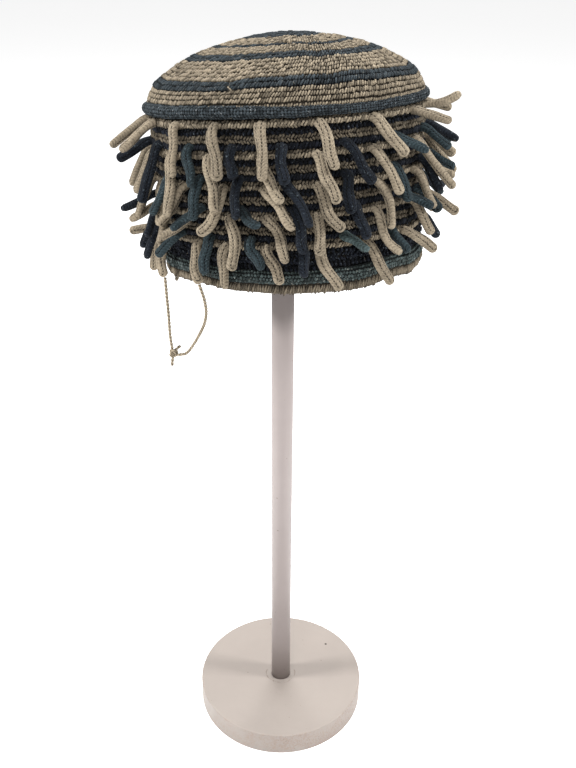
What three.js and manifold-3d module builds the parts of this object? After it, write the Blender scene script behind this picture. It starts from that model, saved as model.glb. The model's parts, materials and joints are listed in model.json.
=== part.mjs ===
import * as THREE from 'three';
import * as BufferGeometryUtils from 'three/addons/utils/BufferGeometryUtils.js';
import Module from 'manifold-3d';

// Knitted prestige cap of the Cameroon grasslands kind, on its turned wooden stand.
// Millimetres, +Z up. The origin is the centre of the base's underside and -Y is the front.
// Azimuths are in degrees round the cap: 0 is the front, and they grow towards +X.

const wasm = await Module();
wasm.setup();

// Stand
const BASE_DIAMETER = 152;
const BASE_THICKNESS = 22.5;
const BASE_EDGE_ROUND = 1.4;
const POST_DIAMETER = 17.5;
const POST_SOCKET_DEPTH = 12;
const KNOB_DIAMETER = 44;
const KNOB_FLAT_DIAMETER = 26;
const KNOB_CENTRE_HEIGHT = 586;

// Cap: the knitted shell, from its crown down to its hem
const KNIT_THICKNESS = 3.5;
const CROWN_RISE = 43;
const ROLL_THICKNESS = 8.3;
const CROWN_EDGE_DIAMETER = 188;
const WALL_HEIGHT = 93.2;
const WALL_FOOT_DIAMETER = 181;
const HEM_BAND_HEIGHT = 8.2;
const HEM_EDGE_HEIGHT = 7;
const HEM_DEPTH = 6;
const RIM_WAVE = 3.5;
const RIM_WAVE_REACH = 60;
const CAP_LEAN_BACK = 8.2;
const CAP_LEAN_LEFT = 3.6;

// Finger-like knitted cords, in rings that grow out of every second stripe
const FINGER_LENGTH = 34;
const FINGER_DIAMETER = 6.6;
const FINGER_ROOT_BEND = 9;
const FINGER_CLEARANCE = 0.4;
const RING_PITCH = 18.8;
const FIRST_RING_DROP = 3.2;
const DARK_RING_DROP = 13;
const BAND_HEIGHT = 4.4;
const BAND_THICKNESS = 1.6;

// Tie cords, and the knot that joins their lower ends. Each hangs from a finger's tip, and
// its rows are points from the tip down to the knot.
const CORD_DIAMETER = 1.8;
const KNOT_DIAMETER = 5;
const LEFT_CORD = [
  [-79.4, -69.2, 463.8],
  [-79, -69.6, 452],
  [-78.4, -69.8, 436],
  [-78.2, -69.4, 420],
  [-77.4, -69, 409.4],
];
const RIGHT_CORD = [
  [-53.1, -101.6, 472.8],
  [-50.6, -100.4, 463],
  [-49.8, -96.4, 452],
  [-51.8, -90.4, 440],
  [-57, -82.6, 426.5],
  [-61.6, -78, 417],
  [-67.4, -73, 408],
  [-73.6, -70.2, 405.4],
];
const KNOT_PLACE = [-76.6, -69, 406.2];
const LONG_TAIL = [
  [-76.6, -69, 406.2],
  [-77.6, -69.2, 401],
  [-78, -69.4, 396.6],
];
const SHORT_TAIL = [
  [-76.6, -69, 406.2],
  [-74, -68.4, 409.6],
  [-71.6, -68, 411.4],
];

// Fits and facets
const FIT_GAP = 0.3;
const CAP_SIDES = 22;
const BASE_SIDES = 30;
const POST_SIDES = 14;
const FINGER_SIDES = 5;
const CORD_SIDES = 8;
const CORD_STEPS = 12;
const TAIL_STEPS = 2;
const PATH_STEPS = 24;
const FINGER_STATIONS = [0, 8, 20];
const FINGER_TIP_SHARE = 0.88;

const RIM_HEIGHT = 0;
const HEM_BAND_FOOT = RIM_HEIGHT + HEM_EDGE_HEIGHT + FIT_GAP;
const WALL_FOOT = HEM_BAND_FOOT + HEM_BAND_HEIGHT + FIT_GAP;
const WALL_TOP = WALL_FOOT + WALL_HEIGHT;
const ROLL_HEIGHT = WALL_TOP + FIT_GAP + ROLL_THICKNESS / 2;
const CAP_HEIGHT = ROLL_HEIGHT + CROWN_RISE;

// Crown outline: radius as a share of the crown edge's, height as a share of the rise.
// The first row sits on the roll, so its height comes from the roll instead.
const CROWN_OUTLINE = [
  { radius: 1.0, height: 0.1 },
  { radius: 0.992, height: 0.17 },
  { radius: 0.931, height: 0.385 },
  { radius: 0.86, height: 0.49 },
  { radius: 0.716, height: 0.665 },
  { radius: 0.573, height: 0.785 },
  { radius: 0.4, height: 0.885 },
  { radius: 0.2, height: 0.965 },
  { radius: 0, height: 1.0 },
];

// Hem sections: depth outwards as a share of the hem's depth, height as a share of the piece's.
const HEM_BAND_SECTION = [
  { depth: 0, height: 0 },
  { depth: 0.85, height: 0 },
  { depth: 1, height: 0.55 },
  { depth: 0.6, height: 1 },
  { depth: 0, height: 1 },
];
const HEM_EDGE_SECTION = [
  { depth: 0.25, height: 0 },
  { depth: 0.65, height: 0 },
  { depth: 0.85, height: 1 },
  { depth: 0, height: 1 },
];

// How far the soft rim is drawn up round the cap, as a share of RIM_WAVE.
const RIM_LIFTS = [
  { azimuth: -180, lift: 0.2 },
  { azimuth: -135, lift: -0.35 },
  { azimuth: -90, lift: 0.4 },
  { azimuth: -45, lift: 1.0 },
  { azimuth: -22, lift: 0.3 },
  { azimuth: 0, lift: -0.2 },
  { azimuth: 28, lift: -0.6 },
  { azimuth: 45, lift: 0.0 },
  { azimuth: 62, lift: -0.6 },
  { azimuth: 90, lift: 0.1 },
  { azimuth: 135, lift: -0.3 },
  { azimuth: 180, lift: 0.2 },
];

// Fingers of the front half, one row each, ring by ring from the hem to the crown.
// Columns: azimuth of the root, length as a share of FINGER_LENGTH, lift away from the wall
// below the root bend and at the tip (0 hangs down, 90 stands straight out), and lean from
// plumb at the root and at the tip (positive swings towards a larger azimuth).
const FINGER_COLUMNS = ['azimuth', 'length', 'lift', 'tipLift', 'lean', 'tipLean'];
const FINGER_RINGS = [
  {
    name: 'tan_fingers_5', course: 4, dark: false, rows: [
      [-88, 0.75, 80, 86, 0, 0],
      [-75, 0.9, 24, 8, 0, 2],
      [-64, 0.92, 34, -6, 4, 26],
      [-41, 0.88, 26, 12, 6, 34],
      [-27, 0.86, 26, 14, -8, 24],
      [-10, 0.8, 26, 22, 26, 30],
      [10, 0.96, 24, 18, 10, 34],
      [30, 1, 24, 18, 22, 20],
      [53, 0.8, 36, 38, 44, 36],
    ],
  },
  {
    name: 'dark_fingers_4', course: 3, dark: true, rows: [
      [-82, 0.75, 50, 20, 0, 0],
      [-70, 0.85, 50, 10, -4, -6],
      [-50, 0.75, 36, 34, -34, -38],
      [-34, 0.78, 26, 18, 4, 4],
      [-16, 0.72, 28, 26, 8, 60],
      [3, 0.78, 24, 18, 8, 0],
      [21, 0.6, 42, 40, 40, 60],
      [41, 0.7, 36, 34, 30, 10],
      [70, 0.65, 38, 28, -4, 0],
    ],
  },
  {
    name: 'tan_fingers_4', course: 3, dark: false, rows: [
      [-77, 0.72, 62, 66, 0, 0],
      [-58, 0.75, 26, 20, 4, -4],
      [-42, 0.86, 34, 38, -40, -56],
      [-24, 1.05, 22, 18, 36, -14],
      [-9, 0.98, 22, 18, 54, 0],
      [10, 0.86, 44, 36, -14, 2],
      [35, 1.04, 22, 20, -12, 54],
      [58, 0.85, 26, 26, 10, 8],
      [76, 0.88, 54, 56, 0, 0],
    ],
  },
  {
    name: 'dark_fingers_3', course: 2, dark: true, rows: [
      [-84, 0.85, 62, 74, 0, 0],
      [-65, 0.85, 26, 22, -4, -8],
      [-37, 0.75, 36, 38, -48, -60],
      [-19, 0.74, 36, 36, 58, 74],
      [2, 0.9, 24, 18, 8, 8],
      [25, 0.8, 38, 30, 2, 0],
      [49, 0.72, 42, 42, 60, 48],
      [63, 0.7, 44, 40, 10, 8],
      [84, 0.8, 28, 24, 60, 76],
    ],
  },
  {
    name: 'tan_fingers_3', course: 2, dark: false, rows: [
      [-76, 0.92, 28, 28, 6, 0],
      [-60, 0.92, 20, 16, 10, 4],
      [-45, 0.96, 24, 24, 0, -30],
      [-26, 1.05, 20, 20, 18, -66],
      [-9, 1, 20, 18, 42, 34],
      [11, 1, 22, 20, 0, 46],
      [34, 1.06, 22, 18, 40, -28],
      [60, 0.9, 28, 24, 2, 0],
      [73, 0.72, 62, 72, 0, 0],
    ],
  },
  {
    name: 'dark_fingers_2', course: 1, dark: true, rows: [
      [-81, 0.8, 24, 20, 0, -8],
      [-53, 0.9, 26, 22, -4, -12],
      [-36, 0.85, 26, 18, 6, 0],
      [-19, 0.8, 28, 22, 16, 14],
      [-2, 1.08, 22, 16, 16, 4],
      [22, 0.8, 22, 14, -2, -8],
      [45, 0.78, 22, 18, 8, 4],
      [66, 0.82, 30, 26, 2, 4],
      [84, 0.72, 50, 60, 0, 0],
    ],
  },
  {
    name: 'tan_fingers_2', course: 1, dark: false, rows: [
      [-86, 0.95, 32, 26, 0, 0],
      [-69, 0.95, 26, 24, -6, -6],
      [-49, 1.22, 22, 16, 18, 6],
      [-30, 1.08, 20, 18, 18, 16],
      [-9, 0.98, 20, 18, 0, 50],
      [11, 1, 20, 16, 4, 6],
      [34, 1.02, 20, 18, 26, 16],
      [61, 1.25, 24, 38, 14, 20],
      [80, 0.76, 46, 50, 0, 0],
    ],
  },
  {
    name: 'dark_fingers_1', course: 0, dark: true, rows: [
      [-76, 0.8, 62, 64, 0, 0],
      [-61, 1.22, 22, 20, 4, -6],
      [-40, 0.84, 22, 18, 26, 22],
      [-21, 0.65, 30, 24, 18, 14],
      [-2, 0.75, 26, 20, 2, 4],
      [22, 0.95, 24, 18, 30, 22],
      [45, 0.74, 36, 42, 46, 56],
      [70, 0.72, 46, 50, 10, 10],
      [87, 0.8, 54, 60, 0, 0],
    ],
  },
  {
    name: 'tan_fingers_1', course: 0, dark: false, rows: [
      [-86, 0.98, 54, 56, 0, 0],
      [-64, 0.88, 54, 56, 0, 0],
      [-46, 1.02, 20, 14, 10, 4],
      [-27, 1.05, 20, 18, 14, 26],
      [-9, 1.04, 22, 18, 0, 6],
      [12, 0.94, 20, 16, 14, 2],
      [34, 0.96, 22, 22, 30, 32],
      [58, 0.8, 66, 70, 28, 38],
      [80, 0.72, 84, 126, 0, 0],
    ],
  },
];

// The hidden back half has the front's inner rows, mirrored and spread round behind.
const BACK_TURN = 174;
const BACK_SPREAD = 1.2;

// Steps that a finger may give way by, in degrees, to lie clear of the ones below it.
const SETTLE_LIFT_STEP = 3;
const SETTLE_LIFT_LIMIT = 60;
const SETTLE_LEANS = [0, 6, -6, 12, -12, 20, -20];

function material(color, roughness) {
  return new THREE.MeshStandardMaterial({ color, roughness, metalness: 0 });
}

const PAINTED_WOOD = material(0xc4bab6, 0.6);
const BARE_WOOD = material(0xb89a74, 0.7);
const TAN_YARN = material(0xa9997c, 0.95);
const BLUE_YARN = material(0x3a4858, 0.95);
const DARK_YARN = material(0x20242f, 0.95);
const GREEN_YARN = material(0x4b585a, 0.95);

function named(name, geometry, look) {
  const mesh = new THREE.Mesh(geometry, look);
  mesh.name = name;
  return mesh;
}

function merged(geometry) {
  geometry.deleteAttribute('normal');
  geometry.deleteAttribute('uv');
  return BufferGeometryUtils.mergeVertices(geometry, 1e-5);
}

// Turns a section of {x: radius, y: height} points about the Z axis, with the front at -Y.
function turned(section, sides) {
  const points = section.map(({ x, y }) => new THREE.Vector2(x, y));
  const geometry = new THREE.LatheGeometry(points, sides);
  geometry.rotateX(Math.PI / 2);
  return merged(geometry);
}

function closedSection(points) {
  return [...points, points[0]];
}

function toManifold(geometry) {
  return new wasm.Manifold(new wasm.Mesh({
    numProp: 3,
    vertProperties: new Float32Array(geometry.attributes.position.array),
    triVerts: new Uint32Array(geometry.index.array),
  }));
}

function toGeometry(manifold) {
  const mesh = manifold.getMesh();
  const geometry = new THREE.BufferGeometry();
  geometry.setAttribute('position', new THREE.BufferAttribute(mesh.vertProperties, 3));
  geometry.setIndex(new THREE.BufferAttribute(mesh.triVerts, 1));
  return geometry;
}

function mix(from, to, share) {
  return from + (to - from) * share;
}

// Stand

function baseGeometry() {
  const radius = BASE_DIAMETER / 2;
  const socketRadius = POST_DIAMETER / 2 + FIT_GAP;
  const socketFloor = BASE_THICKNESS - POST_SOCKET_DEPTH;
  return turned([
    { x: 0, y: 0 },
    { x: radius - BASE_EDGE_ROUND, y: 0 },
    { x: radius, y: BASE_EDGE_ROUND },
    { x: radius, y: BASE_THICKNESS - BASE_EDGE_ROUND },
    { x: radius - BASE_EDGE_ROUND, y: BASE_THICKNESS },
    { x: socketRadius, y: BASE_THICKNESS },
    { x: socketRadius, y: socketFloor },
    { x: 0, y: socketFloor },
  ], BASE_SIDES);
}

const KNOB_SOCKET_TOP = KNOB_CENTRE_HEIGHT;

function postGeometry() {
  const foot = BASE_THICKNESS - POST_SOCKET_DEPTH + FIT_GAP;
  const top = KNOB_SOCKET_TOP - FIT_GAP;
  return turned([
    { x: 0, y: foot },
    { x: POST_DIAMETER / 2, y: foot },
    { x: POST_DIAMETER / 2, y: top },
    { x: 0, y: top },
  ], POST_SIDES);
}

// A ball cut flat underneath, bored for the post; the cap's crown rests on it.
function knobGeometry() {
  const radius = KNOB_DIAMETER / 2;
  const flatRadius = KNOB_FLAT_DIAMETER / 2;
  const socketRadius = POST_DIAMETER / 2 + FIT_GAP;
  const lowest = -Math.acos(flatRadius / radius);
  const section = [{ x: 0, y: KNOB_SOCKET_TOP }];
  const steps = 5;
  section.push({ x: socketRadius, y: KNOB_SOCKET_TOP });
  section.push({ x: socketRadius, y: KNOB_CENTRE_HEIGHT + radius * Math.sin(lowest) });
  for (let step = 0; step <= steps; step += 1) {
    const angle = mix(lowest, Math.PI / 2, step / steps);
    const x = step === steps ? 0 : radius * Math.cos(angle);
    section.push({ x, y: KNOB_CENTRE_HEIGHT + radius * Math.sin(angle) });
  }
  return turned(section, POST_SIDES);
}

// Cap shell

function rimLift(azimuth) {
  const next = RIM_LIFTS.findIndex((row) => row.azimuth > azimuth);
  if (next < 1) return RIM_LIFTS[0].lift * RIM_WAVE;
  const [before, after] = [RIM_LIFTS[next - 1], RIM_LIFTS[next]];
  const share = (azimuth - before.azimuth) / (after.azimuth - before.azimuth);
  return RIM_WAVE * mix(before.lift, after.lift, share * share * (3 - 2 * share));
}

// The rim's waves fade out up the wall, so whatever hangs on the wall follows them.
function waved(x, y, height) {
  const azimuth = THREE.MathUtils.radToDeg(Math.atan2(x, -y));
  const fade = THREE.MathUtils.clamp(1 - height / RIM_WAVE_REACH, 0, 1);
  return height + rimLift(azimuth) * fade;
}

function wavedGeometry(geometry) {
  const position = geometry.attributes.position;
  for (let i = 0; i < position.count; i += 1) {
    position.setZ(i, waved(position.getX(i), position.getY(i), position.getZ(i)));
  }
  return geometry;
}

function wallRadius(height) {
  const share = THREE.MathUtils.clamp((height - WALL_FOOT) / WALL_HEIGHT, 0, 1);
  return mix(WALL_FOOT_DIAMETER, CROWN_EDGE_DIAMETER, share) / 2;
}

function crownGeometry() {
  const edge = CROWN_EDGE_DIAMETER / 2;
  const seat = ROLL_HEIGHT + ROLL_THICKNESS / 2 + FIT_GAP;
  const outer = CROWN_OUTLINE.map(({ radius, height }) => ({
    x: radius * edge,
    y: ROLL_HEIGHT + height * CROWN_RISE,
  }));
  outer[0].y = seat;
  const inner = [];
  for (let i = outer.length - 1; i >= 0; i -= 2) {
    const before = outer[Math.max(i - 1, 0)];
    const after = outer[Math.min(i + 1, outer.length - 1)];
    const slope = Math.atan2(after.y - before.y, before.x - after.x);
    const x = outer[i].x - KNIT_THICKNESS * Math.sin(slope);
    const y = outer[i].y - KNIT_THICKNESS * Math.cos(slope);
    inner.push({ x: i === outer.length - 1 ? 0 : x, y });
  }
  inner[inner.length - 1] = { x: edge - KNIT_THICKNESS, y: seat };
  return turned([...inner, ...outer], CAP_SIDES);
}

function rollGeometry() {
  const sides = 6;
  const section = [];
  for (let side = 0; side < sides; side += 1) {
    const angle = (2 * Math.PI * side) / sides;
    section.push({
      x: CROWN_EDGE_DIAMETER / 2 + (ROLL_THICKNESS / 2) * Math.cos(angle),
      y: ROLL_HEIGHT + (ROLL_THICKNESS / 2) * Math.sin(angle),
    });
  }
  return turned(closedSection(section), CAP_SIDES);
}

function wallGeometry() {
  const foot = wallRadius(WALL_FOOT);
  const top = wallRadius(WALL_TOP);
  return wavedGeometry(turned(closedSection([
    { x: foot - KNIT_THICKNESS, y: WALL_FOOT },
    { x: foot, y: WALL_FOOT },
    { x: top, y: WALL_TOP },
    { x: top - KNIT_THICKNESS, y: WALL_TOP },
  ]), CAP_SIDES));
}

function hemGeometry(section, foot, height) {
  const inner = WALL_FOOT_DIAMETER / 2 - KNIT_THICKNESS;
  const points = section.map((row) => ({ x: inner + row.depth * HEM_DEPTH, y: foot + row.height * height }));
  return wavedGeometry(turned(closedSection(points), CAP_SIDES));
}

// Fingers

// The flats of the wall lie inside its round outline, by this share of the radius.
function flatShare(azimuth) {
  const half = Math.PI / CAP_SIDES;
  const turn = THREE.MathUtils.euclideanModulo(azimuth, 2 * half) - half;
  return Math.cos(half) / Math.cos(turn);
}

function ringHeight(ring) {
  const tanHeight = WALL_TOP - FIRST_RING_DROP - ring.course * RING_PITCH;
  return tanHeight - (ring.dark ? DARK_RING_DROP : 0);
}

function fingerPath(row, height, giveLift, giveLean) {
  const azimuth = THREE.MathUtils.degToRad(row.azimuth);
  const outward = new THREE.Vector3(Math.sin(azimuth), -Math.cos(azimuth), 0);
  const sideways = new THREE.Vector3(Math.cos(azimuth), Math.sin(azimuth), 0);
  const rootRadius = (wallRadius(height) + FIT_GAP + BAND_THICKNESS / 2) * flatShare(azimuth);
  const root = outward.clone().multiplyScalar(rootRadius);
  root.z = waved(root.x, root.y, height);
  const length = row.length * FINGER_LENGTH;
  const path = [root];
  for (let step = 1; step <= PATH_STEPS; step += 1) {
    const share = (step - 0.5) / PATH_STEPS;
    const bend = 1 - Math.min((share * length) / FINGER_ROOT_BEND, 1);
    const free = mix(row.lift, row.tipLift, share) + giveLift;
    const lift = THREE.MathUtils.degToRad(mix(free, 90, bend * bend));
    const lean = THREE.MathUtils.degToRad(mix(row.lean, row.tipLean, share) + giveLean);
    const stride = length / PATH_STEPS;
    const point = path[step - 1].clone();
    point.addScaledVector(outward, stride * Math.sin(lift));
    point.addScaledVector(sideways, stride * Math.cos(lift) * Math.sin(lean));
    point.z -= stride * Math.cos(lift) * Math.cos(lean);
    path.push(point);
  }
  return path;
}

function pathClearance(path, other) {
  let nearest = Infinity;
  if (path[0].distanceTo(other[0]) > 3 * FINGER_LENGTH) return nearest;
  for (const point of path) {
    for (const otherPoint of other) {
      nearest = Math.min(nearest, point.distanceToSquared(otherPoint));
    }
  }
  return Math.sqrt(nearest);
}

// A finger lies as its row says, or gives way by the fewest degrees that keep it clear of
// the fingers already placed, which are the ones below it and its neighbours.
function settledPath(row, height, placed) {
  let best = null;
  let bestRoom = -Infinity;
  const needed = FINGER_DIAMETER + FINGER_CLEARANCE;
  for (let giveLift = 0; giveLift <= SETTLE_LIFT_LIMIT; giveLift += SETTLE_LIFT_STEP) {
    for (const giveLean of SETTLE_LEANS) {
      const path = fingerPath(row, height, giveLift, giveLean);
      const room = Math.min(...placed.map((other) => pathClearance(path, other)), needed);
      if (room >= needed) return path;
      if (room > bestRoom) [best, bestRoom] = [path, room];
    }
  }
  return best;
}

// A tube of FINGER_SIDES round the path, thinner at its last station and closed to a tip.
function fingerGeometry(path) {
  const vertices = [];
  const faces = [];
  const across = new THREE.Vector3(0, 0, 1);
  FINGER_STATIONS.forEach((station, ring) => {
    const last = ring === FINGER_STATIONS.length - 1;
    const along = new THREE.Vector3(path[0].x, path[0].y, 0).normalize();
    if (ring > 0) {
      along.copy(path[Math.min(station + 2, PATH_STEPS)]).sub(path[station - 2]).normalize();
    }
    across.addScaledVector(along, -across.dot(along)).normalize();
    const beside = new THREE.Vector3().crossVectors(along, across);
    const radius = (FINGER_DIAMETER / 2) * (last ? FINGER_TIP_SHARE : 1);
    for (let side = 0; side < FINGER_SIDES; side += 1) {
      const angle = (2 * Math.PI * side) / FINGER_SIDES;
      const vertex = path[station].clone();
      vertex.addScaledVector(across, radius * Math.cos(angle));
      vertex.addScaledVector(beside, radius * Math.sin(angle));
      vertices.push(...vertex.toArray());
    }
  });
  [path[0], path[PATH_STEPS]].forEach((end) => vertices.push(...end.toArray()));
  const root = FINGER_STATIONS.length * FINGER_SIDES;
  const tip = root + 1;
  const lastRing = root - FINGER_SIDES;
  for (let side = 0; side < FINGER_SIDES; side += 1) {
    const next = (side + 1) % FINGER_SIDES;
    faces.push(root, next, side);
    faces.push(tip, lastRing + side, lastRing + next);
    for (let ring = 0; ring < FINGER_STATIONS.length - 1; ring += 1) {
      const here = ring * FINGER_SIDES;
      const above = here + FINGER_SIDES;
      faces.push(here + side, here + next, above + next);
      faces.push(here + side, above + next, above + side);
    }
  }
  const geometry = new THREE.BufferGeometry();
  geometry.setAttribute('position', new THREE.Float32BufferAttribute(vertices, 3));
  geometry.setIndex(faces);
  return geometry;
}

// The stripe that a ring grows from: a ridge round the wall, highest along its middle.
function bandGeometry(height) {
  const low = height - BAND_HEIGHT / 2;
  const high = height + BAND_HEIGHT / 2;
  return wavedGeometry(turned(closedSection([
    { x: wallRadius(low) + FIT_GAP, y: low },
    { x: wallRadius(height) + FIT_GAP + BAND_THICKNESS, y: height },
    { x: wallRadius(high) + FIT_GAP, y: high },
  ]), CAP_SIDES));
}

function ringRows(ring) {
  const front = ring.rows.map((cells) => (
    Object.fromEntries(FINGER_COLUMNS.map((column, i) => [column, cells[i]]))
  ));
  const back = front.slice(1, -1).map((row) => ({
    ...row,
    azimuth: BACK_TURN - BACK_SPREAD * row.azimuth,
    lean: -row.lean,
    tipLean: -row.tipLean,
  }));
  return [...front, ...back];
}

function fingerRings() {
  const placed = [];
  return FINGER_RINGS.map((ring) => {
    const height = ringHeight(ring);
    let solid = toManifold(bandGeometry(height));
    for (const row of ringRows(ring)) {
      const path = settledPath(row, height, placed);
      placed.push(path);
      solid = solid.add(toManifold(fingerGeometry(path)));
    }
    return named(ring.name, toGeometry(solid), ring.dark ? DARK_YARN : TAN_YARN);
  });
}

// Tie cords

function cordGeometry(points, steps) {
  const outline = [];
  for (let side = 0; side < CORD_SIDES; side += 1) {
    const angle = (2 * Math.PI * side) / CORD_SIDES;
    outline.push(new THREE.Vector2(Math.cos(angle), Math.sin(angle)).multiplyScalar(CORD_DIAMETER / 2));
  }
  const extrudePath = new THREE.CatmullRomCurve3(points.map((point) => new THREE.Vector3(...point)));
  return merged(new THREE.ExtrudeGeometry(new THREE.Shape(outline), { steps, extrudePath, bevelEnabled: false }));
}

function knotGeometry() {
  const ball = new THREE.IcosahedronGeometry(KNOT_DIAMETER / 2, 1);
  ball.translate(...KNOT_PLACE);
  let solid = toManifold(merged(ball));
  solid = solid.add(toManifold(cordGeometry(LONG_TAIL, TAIL_STEPS)));
  solid = solid.add(toManifold(cordGeometry(SHORT_TAIL, TAIL_STEPS)));
  return toGeometry(solid);
}

const cap = new THREE.Group();
cap.add(
  named('crown', crownGeometry(), TAN_YARN),
  named('edge_roll', rollGeometry(), BLUE_YARN),
  named('side_wall', wallGeometry(), DARK_YARN),
  named('hem_band', hemGeometry(HEM_BAND_SECTION, HEM_BAND_FOOT, HEM_BAND_HEIGHT), GREEN_YARN),
  named('hem_edge', hemGeometry(HEM_EDGE_SECTION, RIM_HEIGHT, HEM_EDGE_HEIGHT), TAN_YARN),
  ...fingerRings(),
);

// The crown's underside rests on the knob, and the cap leans back and to the left on it.
cap.rotation.set(
  THREE.MathUtils.degToRad(-CAP_LEAN_BACK),
  THREE.MathUtils.degToRad(-CAP_LEAN_LEFT),
  0,
);
const seatToRim = KNOB_DIAMETER / 2 + FIT_GAP + KNIT_THICKNESS - CAP_HEIGHT;
cap.position.set(0, 0, seatToRim).applyEuler(cap.rotation);
cap.position.z += KNOB_CENTRE_HEIGHT;

const group = new THREE.Group();
group.add(
  named('stand_base', baseGeometry(), PAINTED_WOOD),
  named('stand_post', postGeometry(), PAINTED_WOOD),
  named('crown_knob', knobGeometry(), BARE_WOOD),
  cap,
  named('tie_cord_left', cordGeometry(LEFT_CORD, CORD_STEPS), TAN_YARN),
  named('tie_cord_right', cordGeometry(RIGHT_CORD, CORD_STEPS), TAN_YARN),
  named('cord_knot', knotGeometry(), TAN_YARN),
);

export default group;
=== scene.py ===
"""Knitted prestige cap with rings of finger-like cords, on its painted wooden display stand.

Metres, +Z up, the front towards -Y. Azimuths run round the cap: 0 is the front, and they grow
towards +X. Heights on the cap are counted from its rim, along its own leaning axis.
"""

import json
import math

import bmesh
import bpy
import numpy as np
from bpy.props import FloatProperty, FloatVectorProperty, IntProperty, PointerProperty
from mathutils import Matrix, Vector

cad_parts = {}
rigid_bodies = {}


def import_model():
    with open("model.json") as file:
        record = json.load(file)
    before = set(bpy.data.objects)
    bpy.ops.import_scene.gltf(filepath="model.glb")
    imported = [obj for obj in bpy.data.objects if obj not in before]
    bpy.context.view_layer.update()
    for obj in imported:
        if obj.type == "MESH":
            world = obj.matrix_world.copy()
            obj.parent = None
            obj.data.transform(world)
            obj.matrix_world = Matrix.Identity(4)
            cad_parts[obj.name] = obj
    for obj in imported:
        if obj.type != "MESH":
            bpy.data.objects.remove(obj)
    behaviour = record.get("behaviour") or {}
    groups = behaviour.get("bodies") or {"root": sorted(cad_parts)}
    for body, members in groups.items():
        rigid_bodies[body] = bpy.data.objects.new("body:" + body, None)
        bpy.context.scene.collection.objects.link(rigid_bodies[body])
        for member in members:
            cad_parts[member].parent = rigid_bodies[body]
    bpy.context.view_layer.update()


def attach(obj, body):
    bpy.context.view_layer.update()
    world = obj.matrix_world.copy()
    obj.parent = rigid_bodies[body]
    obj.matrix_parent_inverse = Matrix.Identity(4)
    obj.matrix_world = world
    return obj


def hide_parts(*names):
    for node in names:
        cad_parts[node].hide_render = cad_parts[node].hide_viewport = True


bl_info = {
    "name": "Prestige Cap on a Stand",
    "version": (1, 0, 0),
    "blender": (4, 5, 0),
    "location": "View3D > Sidebar > Cap",
    "description": "Knitted cap with rings of finger-like cords, on a painted wooden stand",
    "category": "Add Mesh",
}

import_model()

# Crown bands from the apex outwards: colour, rounds of stitches, width as a share of the arc.
CROWN_BANDS = (
    ("blue", 7, 0.253), ("tan", 5, 0.158), ("blue", 1, 0.045), ("tan", 4, 0.108),
    ("blue", 2, 0.079), ("tan", 5, 0.180), ("blue", 2, 0.080), ("tan", 3, 0.097),
)

# The crown's yarns, by the number of their material.
BAND_YARNS = ("tan", "blue")

# Crown outline: radius as a share of the crown edge's, height as a share of the rise.
CROWN_OUTLINE = (
    (1.0, 0.105), (0.992, 0.17), (0.931, 0.385), (0.86, 0.49), (0.716, 0.665),
    (0.573, 0.785), (0.4, 0.885), (0.2, 0.965), (0.0, 1.0),
)

# How far the soft rim is drawn up round the cap: azimuth, share of the rim wave.
RIM_LIFTS = (
    (-180, 0.2), (-135, -0.35), (-90, 0.4), (-45, 1.0), (-22, 0.3), (0, -0.2),
    (28, -0.6), (45, 0.0), (62, -0.6), (90, 0.1), (135, -0.3), (180, 0.2),
)

# How far the crown's lower bands wander down towards the edge: azimuth, millimetres.
CROWN_DRIFT = (
    (-180, 0.0), (-130, 1.2), (-85, 0.4), (-60, 1.4), (-42, 1.8),
    (-24, 3.0), (-12, 0.4), (0, 0.6), (16, 0.3), (30, -1.3),
    (46, -0.2), (66, 1.7), (95, -0.6), (140, 0.9), (180, 0.0),
)

# Girth of the roll round the cap, as a share of its thickness.
ROLL_GIRTH = (
    (-180, 0.9), (-100, 0.85), (-60, 1.0), (-20, 0.98), (5, 0.82),
    (30, 0.7), (60, 0.76), (100, 0.95), (180, 0.9),
)

# Loose ends of yarn on the crown: azimuth, arc from the apex, reach and lift of the arch that
# each makes, its turn from the rows, and the yarn's width.
LOOSE_ENDS = (
    (4, 0.045, 0.0036, 0.0014, 20, 0.0021), (6, 0.0462, 0.003, 0.0011, -60, 0.0018),
    (-21, 0.095, 0.0036, 0.0016, 50, 0.0007), (62, 0.06, 0.0035, 0.0015, 35, 0.0007),
    (140, 0.052, 0.004, 0.0016, -30, 0.0009), (-150, 0.083, 0.004, 0.0016, 15, 0.001),
)

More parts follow.
